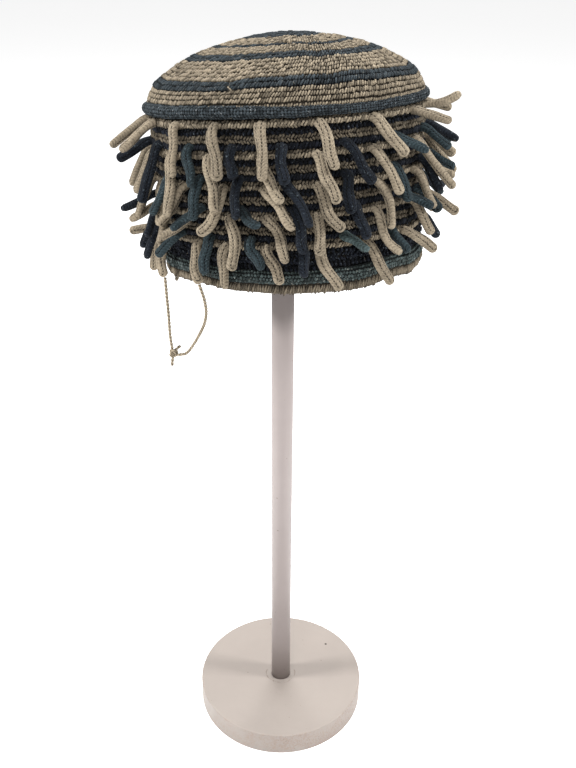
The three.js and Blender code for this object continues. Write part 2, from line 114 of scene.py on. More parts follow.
# Fingers of the front half, ring by ring from the hem to the crown: the ring, its course from the
# top and its usual yarn. Columns: azimuth of the root, length as a share of the finger length, lift
# from the wall below the root and at the tip, lean from plumb at the root and at the tip, and the
# yarn where it isn't the usual one.
FINGER_RINGS = (
    ("tan_fingers_5", 4, "tan", (
        (-88, 0.75, 80, 86, 0, 0), (-75, 0.9, 24, 8, 0, 2), (-64, 0.92, 34, -6, 4, 26),
        (-41, 0.88, 26, 12, 6, 34), (-27, 0.86, 26, 14, -8, 24), (-10, 0.8, 26, 22, 26, 30),
        (10, 0.96, 24, 18, 10, 34), (30, 1, 24, 18, 22, 20), (53, 0.8, 36, 38, 44, 36),
    )),
    ("dark_fingers_4", 3, "navy", (
        (-82, 0.75, 50, 20, 0, 0), (-70, 0.85, 50, 10, -4, -6), (-50, 0.75, 36, 34, -34, -38, "teal"),
        (-34, 0.78, 26, 18, 4, 4, "teal"), (-16, 0.72, 28, 26, 8, 60, "teal"), (3, 0.78, 24, 18, 8, 0),
        (21, 0.6, 42, 40, 40, 60, "grey"), (41, 0.7, 36, 34, 30, 10, "teal"), (70, 0.65, 38, 28, -4, 0),
    )),
    ("tan_fingers_4", 3, "tan", (
        (-77, 0.72, 62, 66, 0, 0), (-58, 0.75, 26, 20, 4, -4), (-42, 0.86, 34, 38, -40, -56),
        (-24, 1.05, 22, 18, 36, -14), (-9, 0.98, 22, 18, 54, 0), (10, 0.86, 44, 36, -14, 2),
        (35, 1.04, 22, 20, -12, 54), (58, 0.85, 26, 26, 10, 8), (76, 0.88, 54, 56, 0, 0),
    )),
    ("dark_fingers_3", 2, "navy", (
        (-84, 0.85, 62, 74, 0, 0), (-65, 0.85, 26, 22, -4, -8), (-37, 0.75, 36, 38, -48, -60, "teal"),
        (-19, 0.74, 36, 36, 58, 74, "teal"), (2, 0.9, 24, 18, 8, 8), (25, 0.8, 38, 30, 2, 0),
        (49, 0.72, 42, 42, 60, 48, "teal"), (63, 0.7, 44, 40, 10, 8, "teal"), (84, 0.8, 28, 24, 60, 76),
    )),
    ("tan_fingers_3", 2, "tan", (
        (-76, 0.92, 28, 28, 6, 0), (-60, 0.92, 20, 16, 10, 4), (-45, 0.96, 24, 24, 0, -30),
        (-26, 1.05, 20, 20, 18, -66), (-9, 1, 20, 18, 42, 34), (11, 1, 22, 20, 0, 46),
        (34, 1.06, 22, 18, 40, -28), (60, 0.9, 28, 24, 2, 0), (73, 0.72, 62, 72, 0, 0),
    )),
    ("dark_fingers_2", 1, "navy", (
        (-81, 0.8, 24, 20, 0, -8, "grey"), (-53, 0.9, 26, 22, -4, -12, "teal"),
        (-36, 0.85, 26, 18, 6, 0, "teal"),
        (-19, 0.8, 28, 22, 16, 14), (-2, 1.08, 22, 16, 16, 4), (22, 0.8, 22, 14, -2, -8),
        (45, 0.78, 22, 18, 8, 4, "teal"), (66, 0.82, 30, 26, 2, 4), (84, 0.72, 50, 60, 0, 0, "teal"),
    )),
    ("tan_fingers_2", 1, "tan", (
        (-86, 0.95, 32, 26, 0, 0), (-69, 0.95, 26, 24, -6, -6), (-49, 1.22, 22, 16, 18, 6),
        (-30, 1.08, 20, 18, 18, 16), (-9, 0.98, 20, 18, 0, 50), (11, 1, 20, 16, 4, 6),
        (34, 1.02, 20, 18, 26, 16), (61, 1.25, 24, 38, 14, 20), (80, 0.76, 46, 50, 0, 0),
    )),
    ("dark_fingers_1", 0, "navy", (
        (-76, 0.8, 62, 64, 0, 0), (-61, 1.22, 22, 20, 4, -6), (-40, 0.84, 22, 18, 26, 22, "teal"),
        (-21, 0.65, 30, 24, 18, 14), (-2, 0.75, 26, 20, 2, 4), (22, 0.95, 24, 18, 30, 22),
        (45, 0.74, 36, 42, 46, 56, "teal"), (70, 0.72, 46, 50, 10, 10, "teal"), (87, 0.8, 54, 60, 0, 0),
    )),
    ("tan_fingers_1", 0, "tan", (
        (-86, 0.98, 54, 56, 0, 0), (-64, 0.88, 54, 56, 0, 0), (-46, 1.02, 20, 14, 10, 4),
        (-27, 1.05, 20, 18, 14, 26), (-9, 1.04, 22, 18, 0, 6), (12, 0.94, 20, 16, 14, 2),
        (34, 0.96, 22, 22, 30, 32), (58, 0.8, 66, 70, 28, 38), (80, 0.72, 84, 126, 0, 0),
    )),
)

# The hidden back half has the front's inner rows, mirrored and spread round behind.
BACK_TURN = 174
BACK_SPREAD = 1.2

# Routes of the two tie cords from the finger tips to the knot, and the knot's two loose tails.
LEFT_CORD = (
    (-0.0794, -0.0692, 0.4638), (-0.0790, -0.0696, 0.4520), (-0.0784, -0.0698, 0.4360),
    (-0.0782, -0.0694, 0.4200), (-0.0774, -0.0690, 0.4094),
)
RIGHT_CORD = (
    (-0.0531, -0.1016, 0.4728), (-0.0506, -0.1004, 0.4630), (-0.0498, -0.0964, 0.4520),
    (-0.0518, -0.0904, 0.4400), (-0.0570, -0.0826, 0.4265), (-0.0616, -0.0780, 0.4170),
    (-0.0674, -0.0730, 0.4080), (-0.0736, -0.0702, 0.4054),
)
KNOT_PLACE = (-0.0766, -0.0690, 0.4062)
LONG_TAIL = (KNOT_PLACE, (-0.0776, -0.0692, 0.4010), (-0.0780, -0.0694, 0.3966))
SHORT_TAIL = (KNOT_PLACE, (-0.0740, -0.0684, 0.4096), (-0.0716, -0.0680, 0.4114))

# Steps that a finger may give way by, in degrees, to lie clear of the ones below it.
SETTLE_LIFTS = range(0, 61, 3)
SETTLE_LEANS = (0, 6, -6, 12, -12, 20, -20)
PATH_STEPS = 24
FINGER_CLEARANCE = 0.0004

# A finger's mesh: its sides, its rings from root to tip, and those of them in the round tip.
FINGER_SIDES = 24
FINGER_MESH_RINGS = 44
FINGER_TIP_RINGS = 9

# A finger's knitting: the length of a stitch, and the trench of holes, whose place runs from 0 in
# the finger's middle to 1 at its edge.
FINGER_STITCH = 0.0021
TRENCH_PLACE = 0.5
TRENCH_WIDTH = 0.17
TRENCH_DEPTH = 0.0007
EDGE_SWELL = 0.00025
EDGE_WIDTH = 0.3

# How a finger bends by chance, and how wide and thick it is as a share of its diameter.
FINGER_SWAY = 0.0011
FINGER_SWELL = 0.05
FINGER_WIDE = 1.02
FINGER_THICK = 0.86

# The gap that parts a piece from its neighbour.
FIT_GAP = 0.0003

# Flats round the shells under the stitches, and how deep the shells lie.
SHELL_SIDES = 72
CROWN_SHELL_SINK = 0.0016
WALL_SHELL_SINK = 0.0018


def length_property(name, description, default):
    """A size that the user can change, in metres."""
    return FloatProperty(name=name, description=description, default=default, min=0, unit="LENGTH")


def colour_property(name, description, default):
    """A colour that the user can change."""
    return FloatVectorProperty(
        name=name, description=description, default=default, subtype="COLOR", min=0, max=1
    )


class CapSizes(bpy.types.PropertyGroup):
    """Sizes of the cap and the stand."""

    base_radius: length_property("Base radius", "Radius of the wooden base", 0.076)
    base_thickness: length_property("Base thickness", "Thickness of the wooden base", 0.0225)
    base_edge: length_property("Base edge", "Rounding of the base's edges", 0.0014)
    post_radius: length_property("Post radius", "Radius of the post", 0.00875)
    socket_depth: length_property("Socket depth", "How deep the post stands in the base", 0.012)
    knob_radius: length_property("Knob radius", "Radius of the knob under the crown", 0.022)
    knob_flat: length_property("Knob flat", "Radius of the knob's flat underside", 0.013)
    knob_height: length_property("Knob height", "Height of the knob's centre", 0.586)
    knit: length_property("Knit thickness", "Thickness of the knitted shell", 0.0035)
    crown_rise: length_property("Crown rise", "Height of the crown over the roll", 0.043)
    crown_radius: length_property("Crown radius", "Radius at the crown's edge", 0.094)
    roll_thickness: length_property("Roll thickness", "Thickness of the blue roll", 0.0083)
    wall_height: length_property("Wall height", "Height of the side wall", 0.0932)
    wall_foot: length_property("Wall foot radius", "Radius at the wall's foot", 0.0905)
    hem_band: length_property("Hem band height", "Height of the green band", 0.0082)
    hem_edge: length_property("Hem edge height", "Height of the tan edge", 0.007)
    hem_depth: length_property("Hem depth", "How far the hem reaches out", 0.006)
    rim_wave: length_property("Rim wave", "How far the rim waves up and down", 0.0035)
    rim_reach: length_property("Rim wave reach", "Height at which the waves fade out", 0.06)
    finger_length: length_property("Finger length", "Length of a usual finger", 0.034)
    finger_width: length_property("Finger width", "Diameter of a finger", 0.0066)
    finger_bend: length_property("Root bend", "Length of the bend at a finger's root", 0.009)
    ring_pitch: length_property("Ring pitch", "Height from one tan ring to the next", 0.0188)
    first_drop: length_property("First ring drop", "Top ring's height below the roll", 0.0032)
    dark_drop: length_property("Dark ring drop", "Dark ring's height below the tan one", 0.013)
    band_thickness: length_property("Band thickness", "How far a ring's stripe stands out", 0.0016)
    cord_width: length_property("Cord width", "Diameter of the tie cords", 0.0018)
    knot_width: length_property("Knot width", "Diameter of the knot", 0.005)
    stitch: length_property("Stitch width", "Width of a crown stitch", 0.00175)
    fibre_width: length_property("Fibre width", "Diameter of a stray fibre", 0.00011)
    wall_pair: length_property("Stripe pair", "Height of a tan and a dark stripe", 0.0093)
    dark_foot: length_property("Dark foot", "Height of the dark rounds at the foot", 0.0125)
    cap_sides: IntProperty(
        name="Flats round the cap", description="Flats that the fingers' roots follow", default=22
    )
    lean_back: FloatProperty(
        name="Lean back", description="Lean of the cap to the back", default=math.radians(8.2),
        subtype="ANGLE",
    )
    lean_left: FloatProperty(
        name="Lean left", description="Lean of the cap to the left", default=math.radians(3.6),
        subtype="ANGLE",
    )


class CapColours(bpy.types.PropertyGroup):
    """Colours of the yarns, the wood and the stage."""

    tan: colour_property("Tan yarn", "Undyed cotton yarn", (0.25, 0.207, 0.15))
    blue: colour_property("Blue yarn", "Faded blue yarn of the crown", (0.034, 0.043, 0.049))
    dark: colour_property("Dark yarn", "Dark stripes of the wall", (0.008, 0.01, 0.015))
    navy: colour_property("Navy yarn", "Navy fingers", (0.0082, 0.0105, 0.0145))
    teal: colour_property("Teal yarn", "Teal fingers", (0.0195, 0.029, 0.033))
    grey: colour_property("Grey yarn", "Green-grey fingers", (0.042, 0.06, 0.06))
    green: colour_property("Green yarn", "Green-grey band of the hem", (0.058, 0.076, 0.074))
    base_paint: colour_property("Base paint", "Beige-grey paint of the base", (0.305, 0.266, 0.238))
    post_paint: colour_property("Post paint", "Lilac-grey paint of the post", (0.325, 0.282, 0.27))
    wood: colour_property("Bare wood", "Wood of the knob", (0.45, 0.31, 0.18))
    floor: colour_property("Floor", "Pale floor", (0.86, 0.86, 0.86))


def sizes():
    """The sizes in use."""
    return bpy.context.scene.cap_sizes


def colours():
    """The colours in use."""
    return bpy.context.scene.cap_colours


# Heights on the cap, counted from its rim


def wall_foot_height():
    """Height of the wall's foot."""
    s = sizes()
    return s.hem_edge + FIT_GAP + s.hem_band + FIT_GAP


def wall_top_height():
    """Height of the wall's top."""
    return wall_foot_height() + sizes().wall_height


def roll_height():
    """Height of the middle of the roll."""
    return wall_top_height() + FIT_GAP + sizes().roll_thickness / 2


def cap_matrix():
    """Places the cap: its crown's underside rests on the knob, and its axis leans."""
    s = sizes()
    turn = Matrix.Rotation(-s.lean_back, 4, "X") @ Matrix.Rotation(-s.lean_left, 4, "Y")
    seat = s.knob_radius + FIT_GAP + s.knit - roll_height() - s.crown_rise
    return Matrix.Translation((0, 0, s.knob_height)) @ turn @ Matrix.Translation((0, 0, seat))


def wall_radius(height):
    """Outer radius of the wall at a height."""
    s = sizes()
    share = np.clip((height - wall_foot_height()) / s.wall_height, 0, 1)
    return s.wall_foot + (s.crown_radius - s.wall_foot) * share


def round_the_cap(table, points):
    """A table's value at each point's azimuth, eased from entry to entry."""
    azimuth = np.degrees(np.arctan2(points[:, 0], -points[:, 1]))
    rows = np.array(table)
    after = np.clip(np.searchsorted(rows[:, 0], azimuth, side="right"), 1, len(rows) - 1)
    low, high = rows[after - 1], rows[after]
    share = (azimuth - low[:, 0]) / (high[:, 0] - low[:, 0])
    return low[:, 1] + (high[:, 1] - low[:, 1]) * share * share * (3 - 2 * share)


def waved(points):
    """Draws the rim up and down; the waves fade out up the wall."""
    s = sizes()
    fade = np.clip(1 - points[:, 2] / s.rim_reach, 0, 1)
    moved = points.copy()
    moved[:, 2] += s.rim_wave * round_the_cap(RIM_LIFTS, points) * fade
    return moved


# Materials


class Socket:
    """A number in a material; Python's operators on it add the Math nodes."""

    def __init__(self, look, output):
        self.look = look
        self.output = output

    def math(self, operation, *others):
        """Adds a Math node of this value and the others."""
        inputs = dict(enumerate((self, *others)))
        return self.look.node("ShaderNodeMath", {"operation": operation}, inputs)

    def __add__(self, other):
        return self.math("ADD", other)

    def __sub__(self, other):
        return self.math("SUBTRACT", other)

    def __mul__(self, other):
        return self.math("MULTIPLY", other)

    def __truediv__(self, other):
        return self.math("DIVIDE", other)

    def __rsub__(self, other):
        return (self * -1).math("ADD", other)

    __radd__ = __add__
    __rmul__ = __mul__

    def sine(self):
        """Sine of the value."""
        return self.math("SINE")

    def size(self):
        """The value without its sign."""
        return self.math("ABSOLUTE")

    def rise(self, low, high):
        """0 below low, 1 above high and smooth between them."""
        settings = {"interpolation_type": "SMOOTHSTEP", "clamp": True}
        ends = {"Value": self, "From Min": low, "From Max": high, "To Min": 0, "To Max": 1}
        return self.look.node("ShaderNodeMapRange", settings, ends)


class Look:
    """A material on the Principled shader, whose other nodes all come from node()."""

    def __init__(self, name, roughness, constants=None):
        self.material = bpy.data.materials.new(name)
        self.material.use_nodes = True
        self.tree = self.material.node_tree
        self.shader = self.tree.nodes["Principled BSDF"]
        self.shader.inputs["Roughness"].default_value = roughness
        for key, value in (constants or {}).items():
            self.shader.inputs[key].default_value = value

    def node(self, kind, settings=None, inputs=None, output=None):
        """Adds a node: its settings first, then the values or links of its sockets."""
        node = self.tree.nodes.new(kind)
        for key, value in (settings or {}).items():
            setattr(node, key, value)
        enabled = [socket for socket in node.inputs if socket.enabled]
        for key, value in (inputs or {}).items():
            if isinstance(key, int):
                socket = enabled[key]
            else:
                socket = next(s for s in enabled if s.name == key)
            self.feed(socket, value)
        outputs = [socket for socket in node.outputs if socket.enabled]
        if output:
            return Socket(self, next(s for s in outputs if s.name == output))
        return Socket(self, outputs[0])

    def feed(self, socket, value):
        """Links a value into a socket, or sets the socket to it."""
        if isinstance(value, Socket):
            self.tree.links.new(value.output, socket)
        elif socket.type == "RGBA":
            socket.default_value = (*value, 1) if len(value) == 3 else value
        else:
            socket.default_value = value

    def place(self):
        """Object coordinates."""
        return self.node("ShaderNodeTexCoord", output="Object")

    def attribute(self, name, output="Fac"):
        """An attribute that the piece carries."""
        return self.node("ShaderNodeAttribute", {"attribute_name": name}, output=output)

    def noise(self, scale, detail, roughness):
        """Noise from 0 to 1, scale cells to the metre."""
        inputs = {"Vector": self.place(), "Scale": scale, "Detail": detail, "Roughness": roughness}
        return self.node("ShaderNodeTexNoise", None, inputs)

    def parts(self, vector):
        """The three numbers of a vector."""
        first = self.node("ShaderNodeSeparateXYZ", None, {"Vector": vector})
        return tuple(Socket(self, output) for output in first.output.node.outputs)

    def mix(self, factor, first, second):
        """Mixes two colours."""
        settings = {"data_type": "RGBA", "clamp_factor": True}
        return self.node("ShaderNodeMix", settings, {"Factor": factor, "A": first, "B": second})

    def bump(self, height, distance, strength):
        """Raises the surface by height, in units of distance."""
        inputs = {"Height": height, "Distance": distance, "Strength": strength}
        return self.node("ShaderNodeBump", None, inputs, output="Normal")

    def finish(self, colour, normal=None, roughness=None):
        """Feeds the shader and gives the material."""
        self.feed(self.shader.inputs["Base Color"], colour)
        if normal:
            self.feed(self.shader.inputs["Normal"], normal)
        if roughness:
            self.feed(self.shader.inputs["Roughness"], roughness)
        return self.material


def shaded(colour, factor):
    """A colour made lighter or darker, numbers alone."""
    return tuple(min(1.0, part * factor) for part in colour)


YARN_ROUGHNESS = 0.9
YARN_CONSTANTS = {"Specular IOR Level": 0.06, "Sheen Weight": 0.03, "Sheen Roughness": 0.6}

# Pale bits of fluff in the yarn, and the wave of its plies over a stitch, in radians to the metre.
FLUFF = (0.5, 0.45, 0.36)
PLY_WAVE = 5200


def yarn_colour(look, colour, fleck, fleck_amount):
    """Dyed cotton: patchy fading, shade from stitch to stitch, pale flecks and painted shade in
    crevices.
    """
    fade = look.noise(34, 3, 0.6).rise(0.3, 0.72)
    fibre = look.noise(1100, 3, 0.65)
    grime = look.noise(210, 3, 0.6).rise(0.35, 0.7)
    cast = look.attribute("shade")
    body = look.mix(fade, shaded(colour, 0.72), shaded(colour, 1.18))
    body = look.mix(cast * 0.75, body, shaded(colour, 2.0))
    body = look.mix(grime * 0.4, body, shaded(colour, 0.5))
    body = look.mix(fibre.rise(0.45, 0.75) * 0.55, body, shaded(colour, 2.1))
    flecks = look.noise(700, 1, 0.5).rise(0.64, 0.74) * fleck_amount
    body = look.mix(flecks, body, fleck)
    # Painted shade: where the crest mark is low, in crevices and on the shells under the stitches.
    crest = look.attribute("crest").rise(0.42, 0.96)
    return look.mix(crest, shaded(colour, 0.1), body), fibre


def stitch_yarn(name, colour, fleck=FLUFF, fleck_amount=0.25):
    """Yarn worked into stitches: the plies run aslant over each stitch."""
    look = Look(name, YARN_ROUGHNESS, YARN_CONSTANTS)
    body, fibre = yarn_colour(look, colour, fleck, fleck_amount)
    dull = 1 - look.attribute("shade").rise(0.0, 0.1)
    body = look.mix(dull * 0.62, body, shaded(colour, 0.3))
    across, _, along = look.parts(look.attribute("lay", "Vector"))
    ply = ((along + across * 0.9) * PLY_WAVE).sine()
    return look.finish(body, look.bump(ply * 0.35 + fibre, 0.0004, 0.9))


def finger_yarn(name, colour, highlight=1.2, fleck=FLUFF, fleck_amount=0.2):
    """Yarn of a finger: a line of holes in painted shade runs inside its edge, between slanting
    stitches.
    """
    look = Look(name, YARN_ROUGHNESS, YARN_CONSTANTS)
    body, fibre = yarn_colour(look, colour, fleck, fleck_amount)
    _, _, along = look.parts(look.attribute("lay", "Vector"))
    wave = 2 * math.pi / FINGER_STITCH
    stray = look.noise(420, 3, 0.6) - 0.5
    rim = look.attribute("rim") + stray * 0.3
    off = (rim - TRENCH_PLACE).size()
    trench = 1 - (off / TRENCH_WIDTH).rise(0.0, 1.0)
    beat = ((along + stray * 0.0014) * wave).sine()
    # Painted shade: the holes of the trench are darkened almost to black.
    holes = trench * (beat * 0.42 + 0.66).rise(0.15, 0.85) * look.noise(300, 2, 0.6).rise(0.28, 0.5)
    body = look.mix(holes * 0.94, body, shaded(colour, 0.06))
    loops = ((along + off * 0.0045) * wave).sine() * 0.5 + 0.5
    # Painted shade in the grooves between the loops.
    groove_shade = loops.rise(0.5, 1.0) * (1 - trench) * look.noise(420, 2, 0.6).rise(0.3, 0.62)
    body = look.mix(groove_shade * 0.6, body, shaded(colour, 0.34))
    # Painted highlight on the tops of the loops.
    crown = (1 - loops.rise(0.05, 0.5)) * (1 - trench) * look.noise(500, 2, 0.6).rise(0.4, 0.6)
    body = look.mix(crown * 0.6, body, shaded(colour, highlight))
    height = fibre * 0.7 - holes * 1.8 - loops * 0.4 - trench * 0.6
    return look.finish(body, look.bump(height, 0.0005, 0.9))


# The one dark speck on the base's top, and the browns of what shows through the paint.
SPECK_PLACE = (0.0445, 0.038)
SPECK_BROWN = (0.05, 0.035, 0.03)
WORN_BROWN = (0.26, 0.17, 0.13)
PIT_BROWN = (0.09, 0.055, 0.04)
CRACK_BROWN = (0.13, 0.09, 0.07)
DOT_BROWN = (0.14, 0.1, 0.08)


def painted_wood(name, paint):
    """Thin paint on turned wood: faint brush marks, specks, a worn rim and a cracked ring."""
    s = sizes()
    look = Look(name, 0.5, {"Specular IOR Level": 0.35})
    x, y, z = look.parts(look.place())
    radius = (x * x + y * y).math("SQRT")
    brush = look.noise(60, 4, 0.6)
    cloud = look.noise(14, 3, 0.55)
    grain = look.noise(520, 3, 0.7)
    body = look.mix(cloud.rise(0.3, 0.7), shaded(paint, 0.95), shaded(paint, 1.04))
    body = look.mix(brush.rise(0.4, 0.8) * 0.2, body, shaded(paint, 0.88))
    edge = (radius - s.base_radius).size().rise(0.0, 0.002)
    side = (1 - edge) * look.noise(40, 2, 0.6).rise(0.35, 0.6)
    body = look.mix(side * grain.rise(0.4, 0.62) * 0.5, body, WORN_BROWN)
    pits = side * look.noise(900, 1, 0.5).rise(0.68, 0.75)
    body = look.mix(pits * 0.8, body, PIT_BROWN)
    from_top = (z - s.base_thickness).size()
    rim = (1 - edge) * (1 - from_top.rise(0.0, 0.0012))
    body = look.mix(rim * 0.35, body, shaded(paint, 1.3))
    stray = brush * 0.006 + grain * 0.003
    crack = 1 - (radius - stray - s.post_radius * 1.02).size().rise(0.0, 0.0006)
    crack = crack * look.noise(110, 2, 0.6).rise(0.42, 0.56) * z.rise(0.0, s.base_thickness)
    crack = crack * (1 - from_top.rise(0.0, 0.001))
    body = look.mix(crack * 0.7, body, CRACK_BROWN)
    speck_x = x - SPECK_PLACE[0]
    speck_y = y - SPECK_PLACE[1]
    speck = (speck_x * speck_x + speck_y * speck_y).math("SQRT") + (grain - 0.5) * 0.0012
    body = look.mix(1 - speck.rise(0.0007, 0.0014), body, SPECK_BROWN)
    dots = look.noise(330, 1, 0.5).rise(0.77, 0.8)
    body = look.mix(dots * 0.6, body, DOT_BROWN)
    height = brush * 0.6 + grain * 0.25 - pits - crack
    return look.finish(body, look.bump(height, 0.0004, 0.4), cloud * 0.2 + 0.4)


def bare_wood():
    """Plain turned wood with its grain upright."""
    wood = colours().wood
    look = Look("knob wood", 0.65)
    x, y, z = look.parts(look.place())
    warp = look.noise(25, 3, 0.6)
    rings = ((x * 2 + y + warp * 0.01) * 1400).sine() * 0.5 + 0.5
    pores = look.noise(700, 2, 0.6)
    body = look.mix(rings, shaded(wood, 0.72), shaded(wood, 1.1))
    body = look.mix(pores.rise(0.5, 0.8) * 0.3, body, shaded(wood, 0.5))
    return look.finish(body, look.bump(rings * 0.4 + pores, 0.0002, 0.4))


def floor_paint():
    """Matte pale floor."""
    look = Look("floor", 0.9, {"Emission Color": (1, 1, 1, 1), "Emission Strength": 0.55})
    cloud = look.noise(3, 2, 0.5)
    floor = colours().floor
    return look.finish(look.mix(cloud, shaded(floor, 0.99), floor))


# Meshes


# What the yarn materials read from each point: the mark's name and how many numbers it has.
MARKS = {"crest": 1, "rim": 1, "shade": 1, "lay": 3}


def new_layers(bm):
    """Layers for the marks."""
    layers = bm.verts.layers
    return {
        name: (layers.float if width == 1 else layers.float_vector).new(name)
        for name, width in MARKS.items()
    }


def mesh_of(bm, name):
    """Turns a bmesh into a mesh and frees it."""
    mesh = bpy.data.meshes.new(name)
    bm.to_mesh(mesh)
    bm.free()
    return mesh


def added(name, data):
    """Puts data into the scene as an object."""
    thing = bpy.data.objects.new(name, data)
    bpy.context.scene.collection.objects.link(thing)
    return thing


def merged(bm, part, copies=1):
    """Adds a part to a piece, once or more often, and frees it."""
    mesh = mesh_of(part, "part")
    for _ in range(copies):
        bm.from_mesh(mesh)
    bpy.data.meshes.remove(mesh)


def ball(sides, rings):
    """A smooth ball of radius 1 in a bmesh of its own."""
    rough = bmesh.new()
    new_layers(rough)
    bmesh.ops.create_uvsphere(rough, u_segments=sides, v_segments=rings, radius=1)
    for face in rough.faces:
        face.smooth = True
    clean = bmesh.new()
    merged(clean, rough)
    return clean


def blank(sides, rings):
    """A ball to be bent: it, and each point's ring, from 0 at the lower pole, and angle."""
    form = ball(sides, rings)
    points = np.array([vert.co[:] for vert in form.verts])
    latitude = np.arcsin(np.clip(points[:, 2], -1, 1))
    ring = np.rint((latitude + math.pi / 2) / math.pi * rings).astype(int)
    return form, ring, np.arctan2(points[:, 1], points[:, 0])


# Scatters the first stitches of the rounds: radians to the metre of height, and their span.
ROUND_SCATTER = 9000
ROUND_SPAN = 6.28


def pitch(radius, count):
    """Width of each of a round's stitches."""
    return 2 * math.pi * radius / count


def stitch_row(bm, count, radius, height, size, tilt, slant, material, sides=5, rings=3, painted_light=1):
    """Adds a round of stitches: one stitch of yarn, spun into all its copies.

    The size is (across, deep, tall). The tilt out of the upright is in radians, and the slant
    along the round in degrees.
    """
    across, deep, tall = size
    turn = Matrix.Rotation(tilt, 4, "X") @ Matrix.Rotation(math.radians(slant), 4, "Y")
    row = ball(sides, rings)
    crest = row.verts.layers.float["crest"]
    lay = row.verts.layers.float_vector["lay"]
    for vert in row.verts:
        # Painted shade: the crest falls towards the stitch's back and ends, scaled by the round's
        # factor.
        vert[crest] = painted_light * (0.5 - 0.5 * vert.co.y) * (1 - 0.45 * vert.co.z ** 4)
        vert[lay] = (vert.co.x * across / 2, vert.co.y * deep / 2, vert.co.z * tall / 2)
    for face in row.faces:
        face.material_index = material
    start = Matrix.Rotation(height * ROUND_SCATTER % ROUND_SPAN, 4, "Z")
    place = start @ Matrix.Translation((0, -radius, height)) @ turn
    scale = Matrix.Diagonal((across / 2, deep / 2, tall / 2, 1))
    bmesh.ops.transform(row, matrix=place @ scale, verts=row.verts)
    bmesh.ops.spin(
        row, geom=[*row.verts, *row.edges, *row.faces], cent=(0, 0, 0), axis=(0, 0, 1),
        angle=2 * math.pi * (count - 1) / count, steps=count - 1, use_duplicate=True,
    )
    merged(bm, row)
    return count, sides * (rings - 1) + 2


# Marks of a shell's inner side, which stays nearly clear of painted shade, and what an azimuth
# counts as in the lay of a shell's yarn.
LINING_CREST = 0.85
LINING_SHADE = 0.2
LAY_RADIUS = 0.09


def spun_shell(bm, outline, sides=SHELL_SIDES, closed=True, material_of=None, crest=0.3):
    """Spins an outline of (radius, height) round the axis into a closed wall, pale inside.

    Its outer side carries a low crest mark: the painted shade that shows between the stitches.
    """
    shell = bmesh.new()
    layers = new_layers(shell)
    verts = [shell.verts.new((0, -radius, height)) for radius, height in outline]
    edges = [shell.edges.new(pair) for pair in zip(verts, verts[1:])]
    if closed:
        edges.append(shell.edges.new((verts[-1], verts[0])))
    bmesh.ops.spin(
        shell, geom=[*verts, *edges], cent=(0, 0, 0), axis=(0, 0, 1), angle=2 * math.pi,
        steps=sides, use_merge=True,
    )
    bmesh.ops.remove_doubles(shell, verts=shell.verts, dist=1e-6)
    bmesh.ops.recalc_face_normals(shell, faces=shell.faces)
    for face in shell.faces:
        face.smooth = True
        if material_of:
            centre = face.calc_center_median()
            face.material_index = material_of(math.hypot(centre.x, centre.y), centre.z)
    shell.normal_update()
    for vert in shell.verts:
        across = Vector((vert.co.x, vert.co.y, 0)).normalized() + Vector((0, 0, 1))
        inside = vert.normal.dot(across) < 0
        vert[layers["crest"]] = LINING_CREST if inside else crest
        vert[layers["shade"]] = LINING_SHADE if inside else 0
        vert[layers["lay"]] = (math.atan2(vert.co.x, -vert.co.y) * LAY_RADIUS, 0, vert.co.z)
    merged(bm, shell)


# What chance does to a stitch: its limit in standard deviations, the slant that it gives, and
# the power that keeps most stitches' shades low.
CHANCE_LIMIT = 1.8
CHANCE_SLANT = 0.16
SHADE_POWER = 1.8


def loosened(points, marks, rows, seed, shift=0.00022, swell=0.09):
    """Moves, swells and slants each stitch a little, so that no two are alike."""
    rng = np.random.default_rng(seed)
    at = 0
    for count, per_stitch in rows:
        end = at + count * per_stitch
        block = points[at:end].reshape(count, per_stitch, 3)
        centre = block.mean(axis=1, keepdims=True)
        reach = np.hypot(centre[..., 0], centre[..., 1])[..., None]
        outward = np.concatenate([centre[..., :2] / np.maximum(reach, 1e-6), 0 * reach], axis=2)
        along = np.stack([-outward[..., 1], outward[..., 0], 0 * outward[..., 0]], axis=2)
        chance = rng.standard_normal((4, count, 1, 1)).clip(-CHANCE_LIMIT, CHANCE_LIMIT)
        spread = (block - centre) * (1 + swell * chance[0])
        spread = spread + along * CHANCE_SLANT * chance[1] * spread[..., 2:3]
        moved = outward * shift * chance[2] + np.array([0, 0, shift]) * chance[3]
        points[at:end] = (centre + spread + moved).reshape(-1, 3)
        shade = rng.uniform(0, 1, count) ** SHADE_POWER
        marks["shade"][at:end, 0] = np.repeat(shade, per_stitch)
        at = end
    return points


# Waves round the cap that a ripple is made of, and the radius at which it has its full reach.
RIPPLE_LOBES = (3, 5, 8, 13, 21)
RIPPLE_RADIUS = 0.04


def ripple(points, seed, rise, bulge):
    """Lets the rounds wander up and down, and the surface in and out, as handwork does."""
    rng = np.random.default_rng(seed)
    azimuth = np.arctan2(points[:, 0], -points[:, 1])
    reach = np.hypot(points[:, 0], points[:, 1])
    shift = np.zeros((2, len(points)))
    for lobe in RIPPLE_LOBES:
        phases = rng.uniform(0, 2 * math.pi, (2, 2))
        for row, (first, second) in enumerate(phases):
            drift = np.sin(60 * points[:, 2] + second)
            shift[row] += np.sin(lobe * azimuth + first + 1.1 * drift) / math.sqrt(lobe)
    fade = np.clip(reach / RIPPLE_RADIUS, 0, 1)
    points = points.copy()
    points[:, 2] += rise * shift[0] * fade
    points[:, :2] *= (1 + bulge * shift[1] * fade / np.maximum(reach, 0.01))[:, None]
    return points


def numbers(rows, key, width):
    """The numbers that a mesh holds under a key."""
    values = np.empty(len(rows) * width)
    rows.foreach_get(key, values)
    return values.reshape(-1, width)


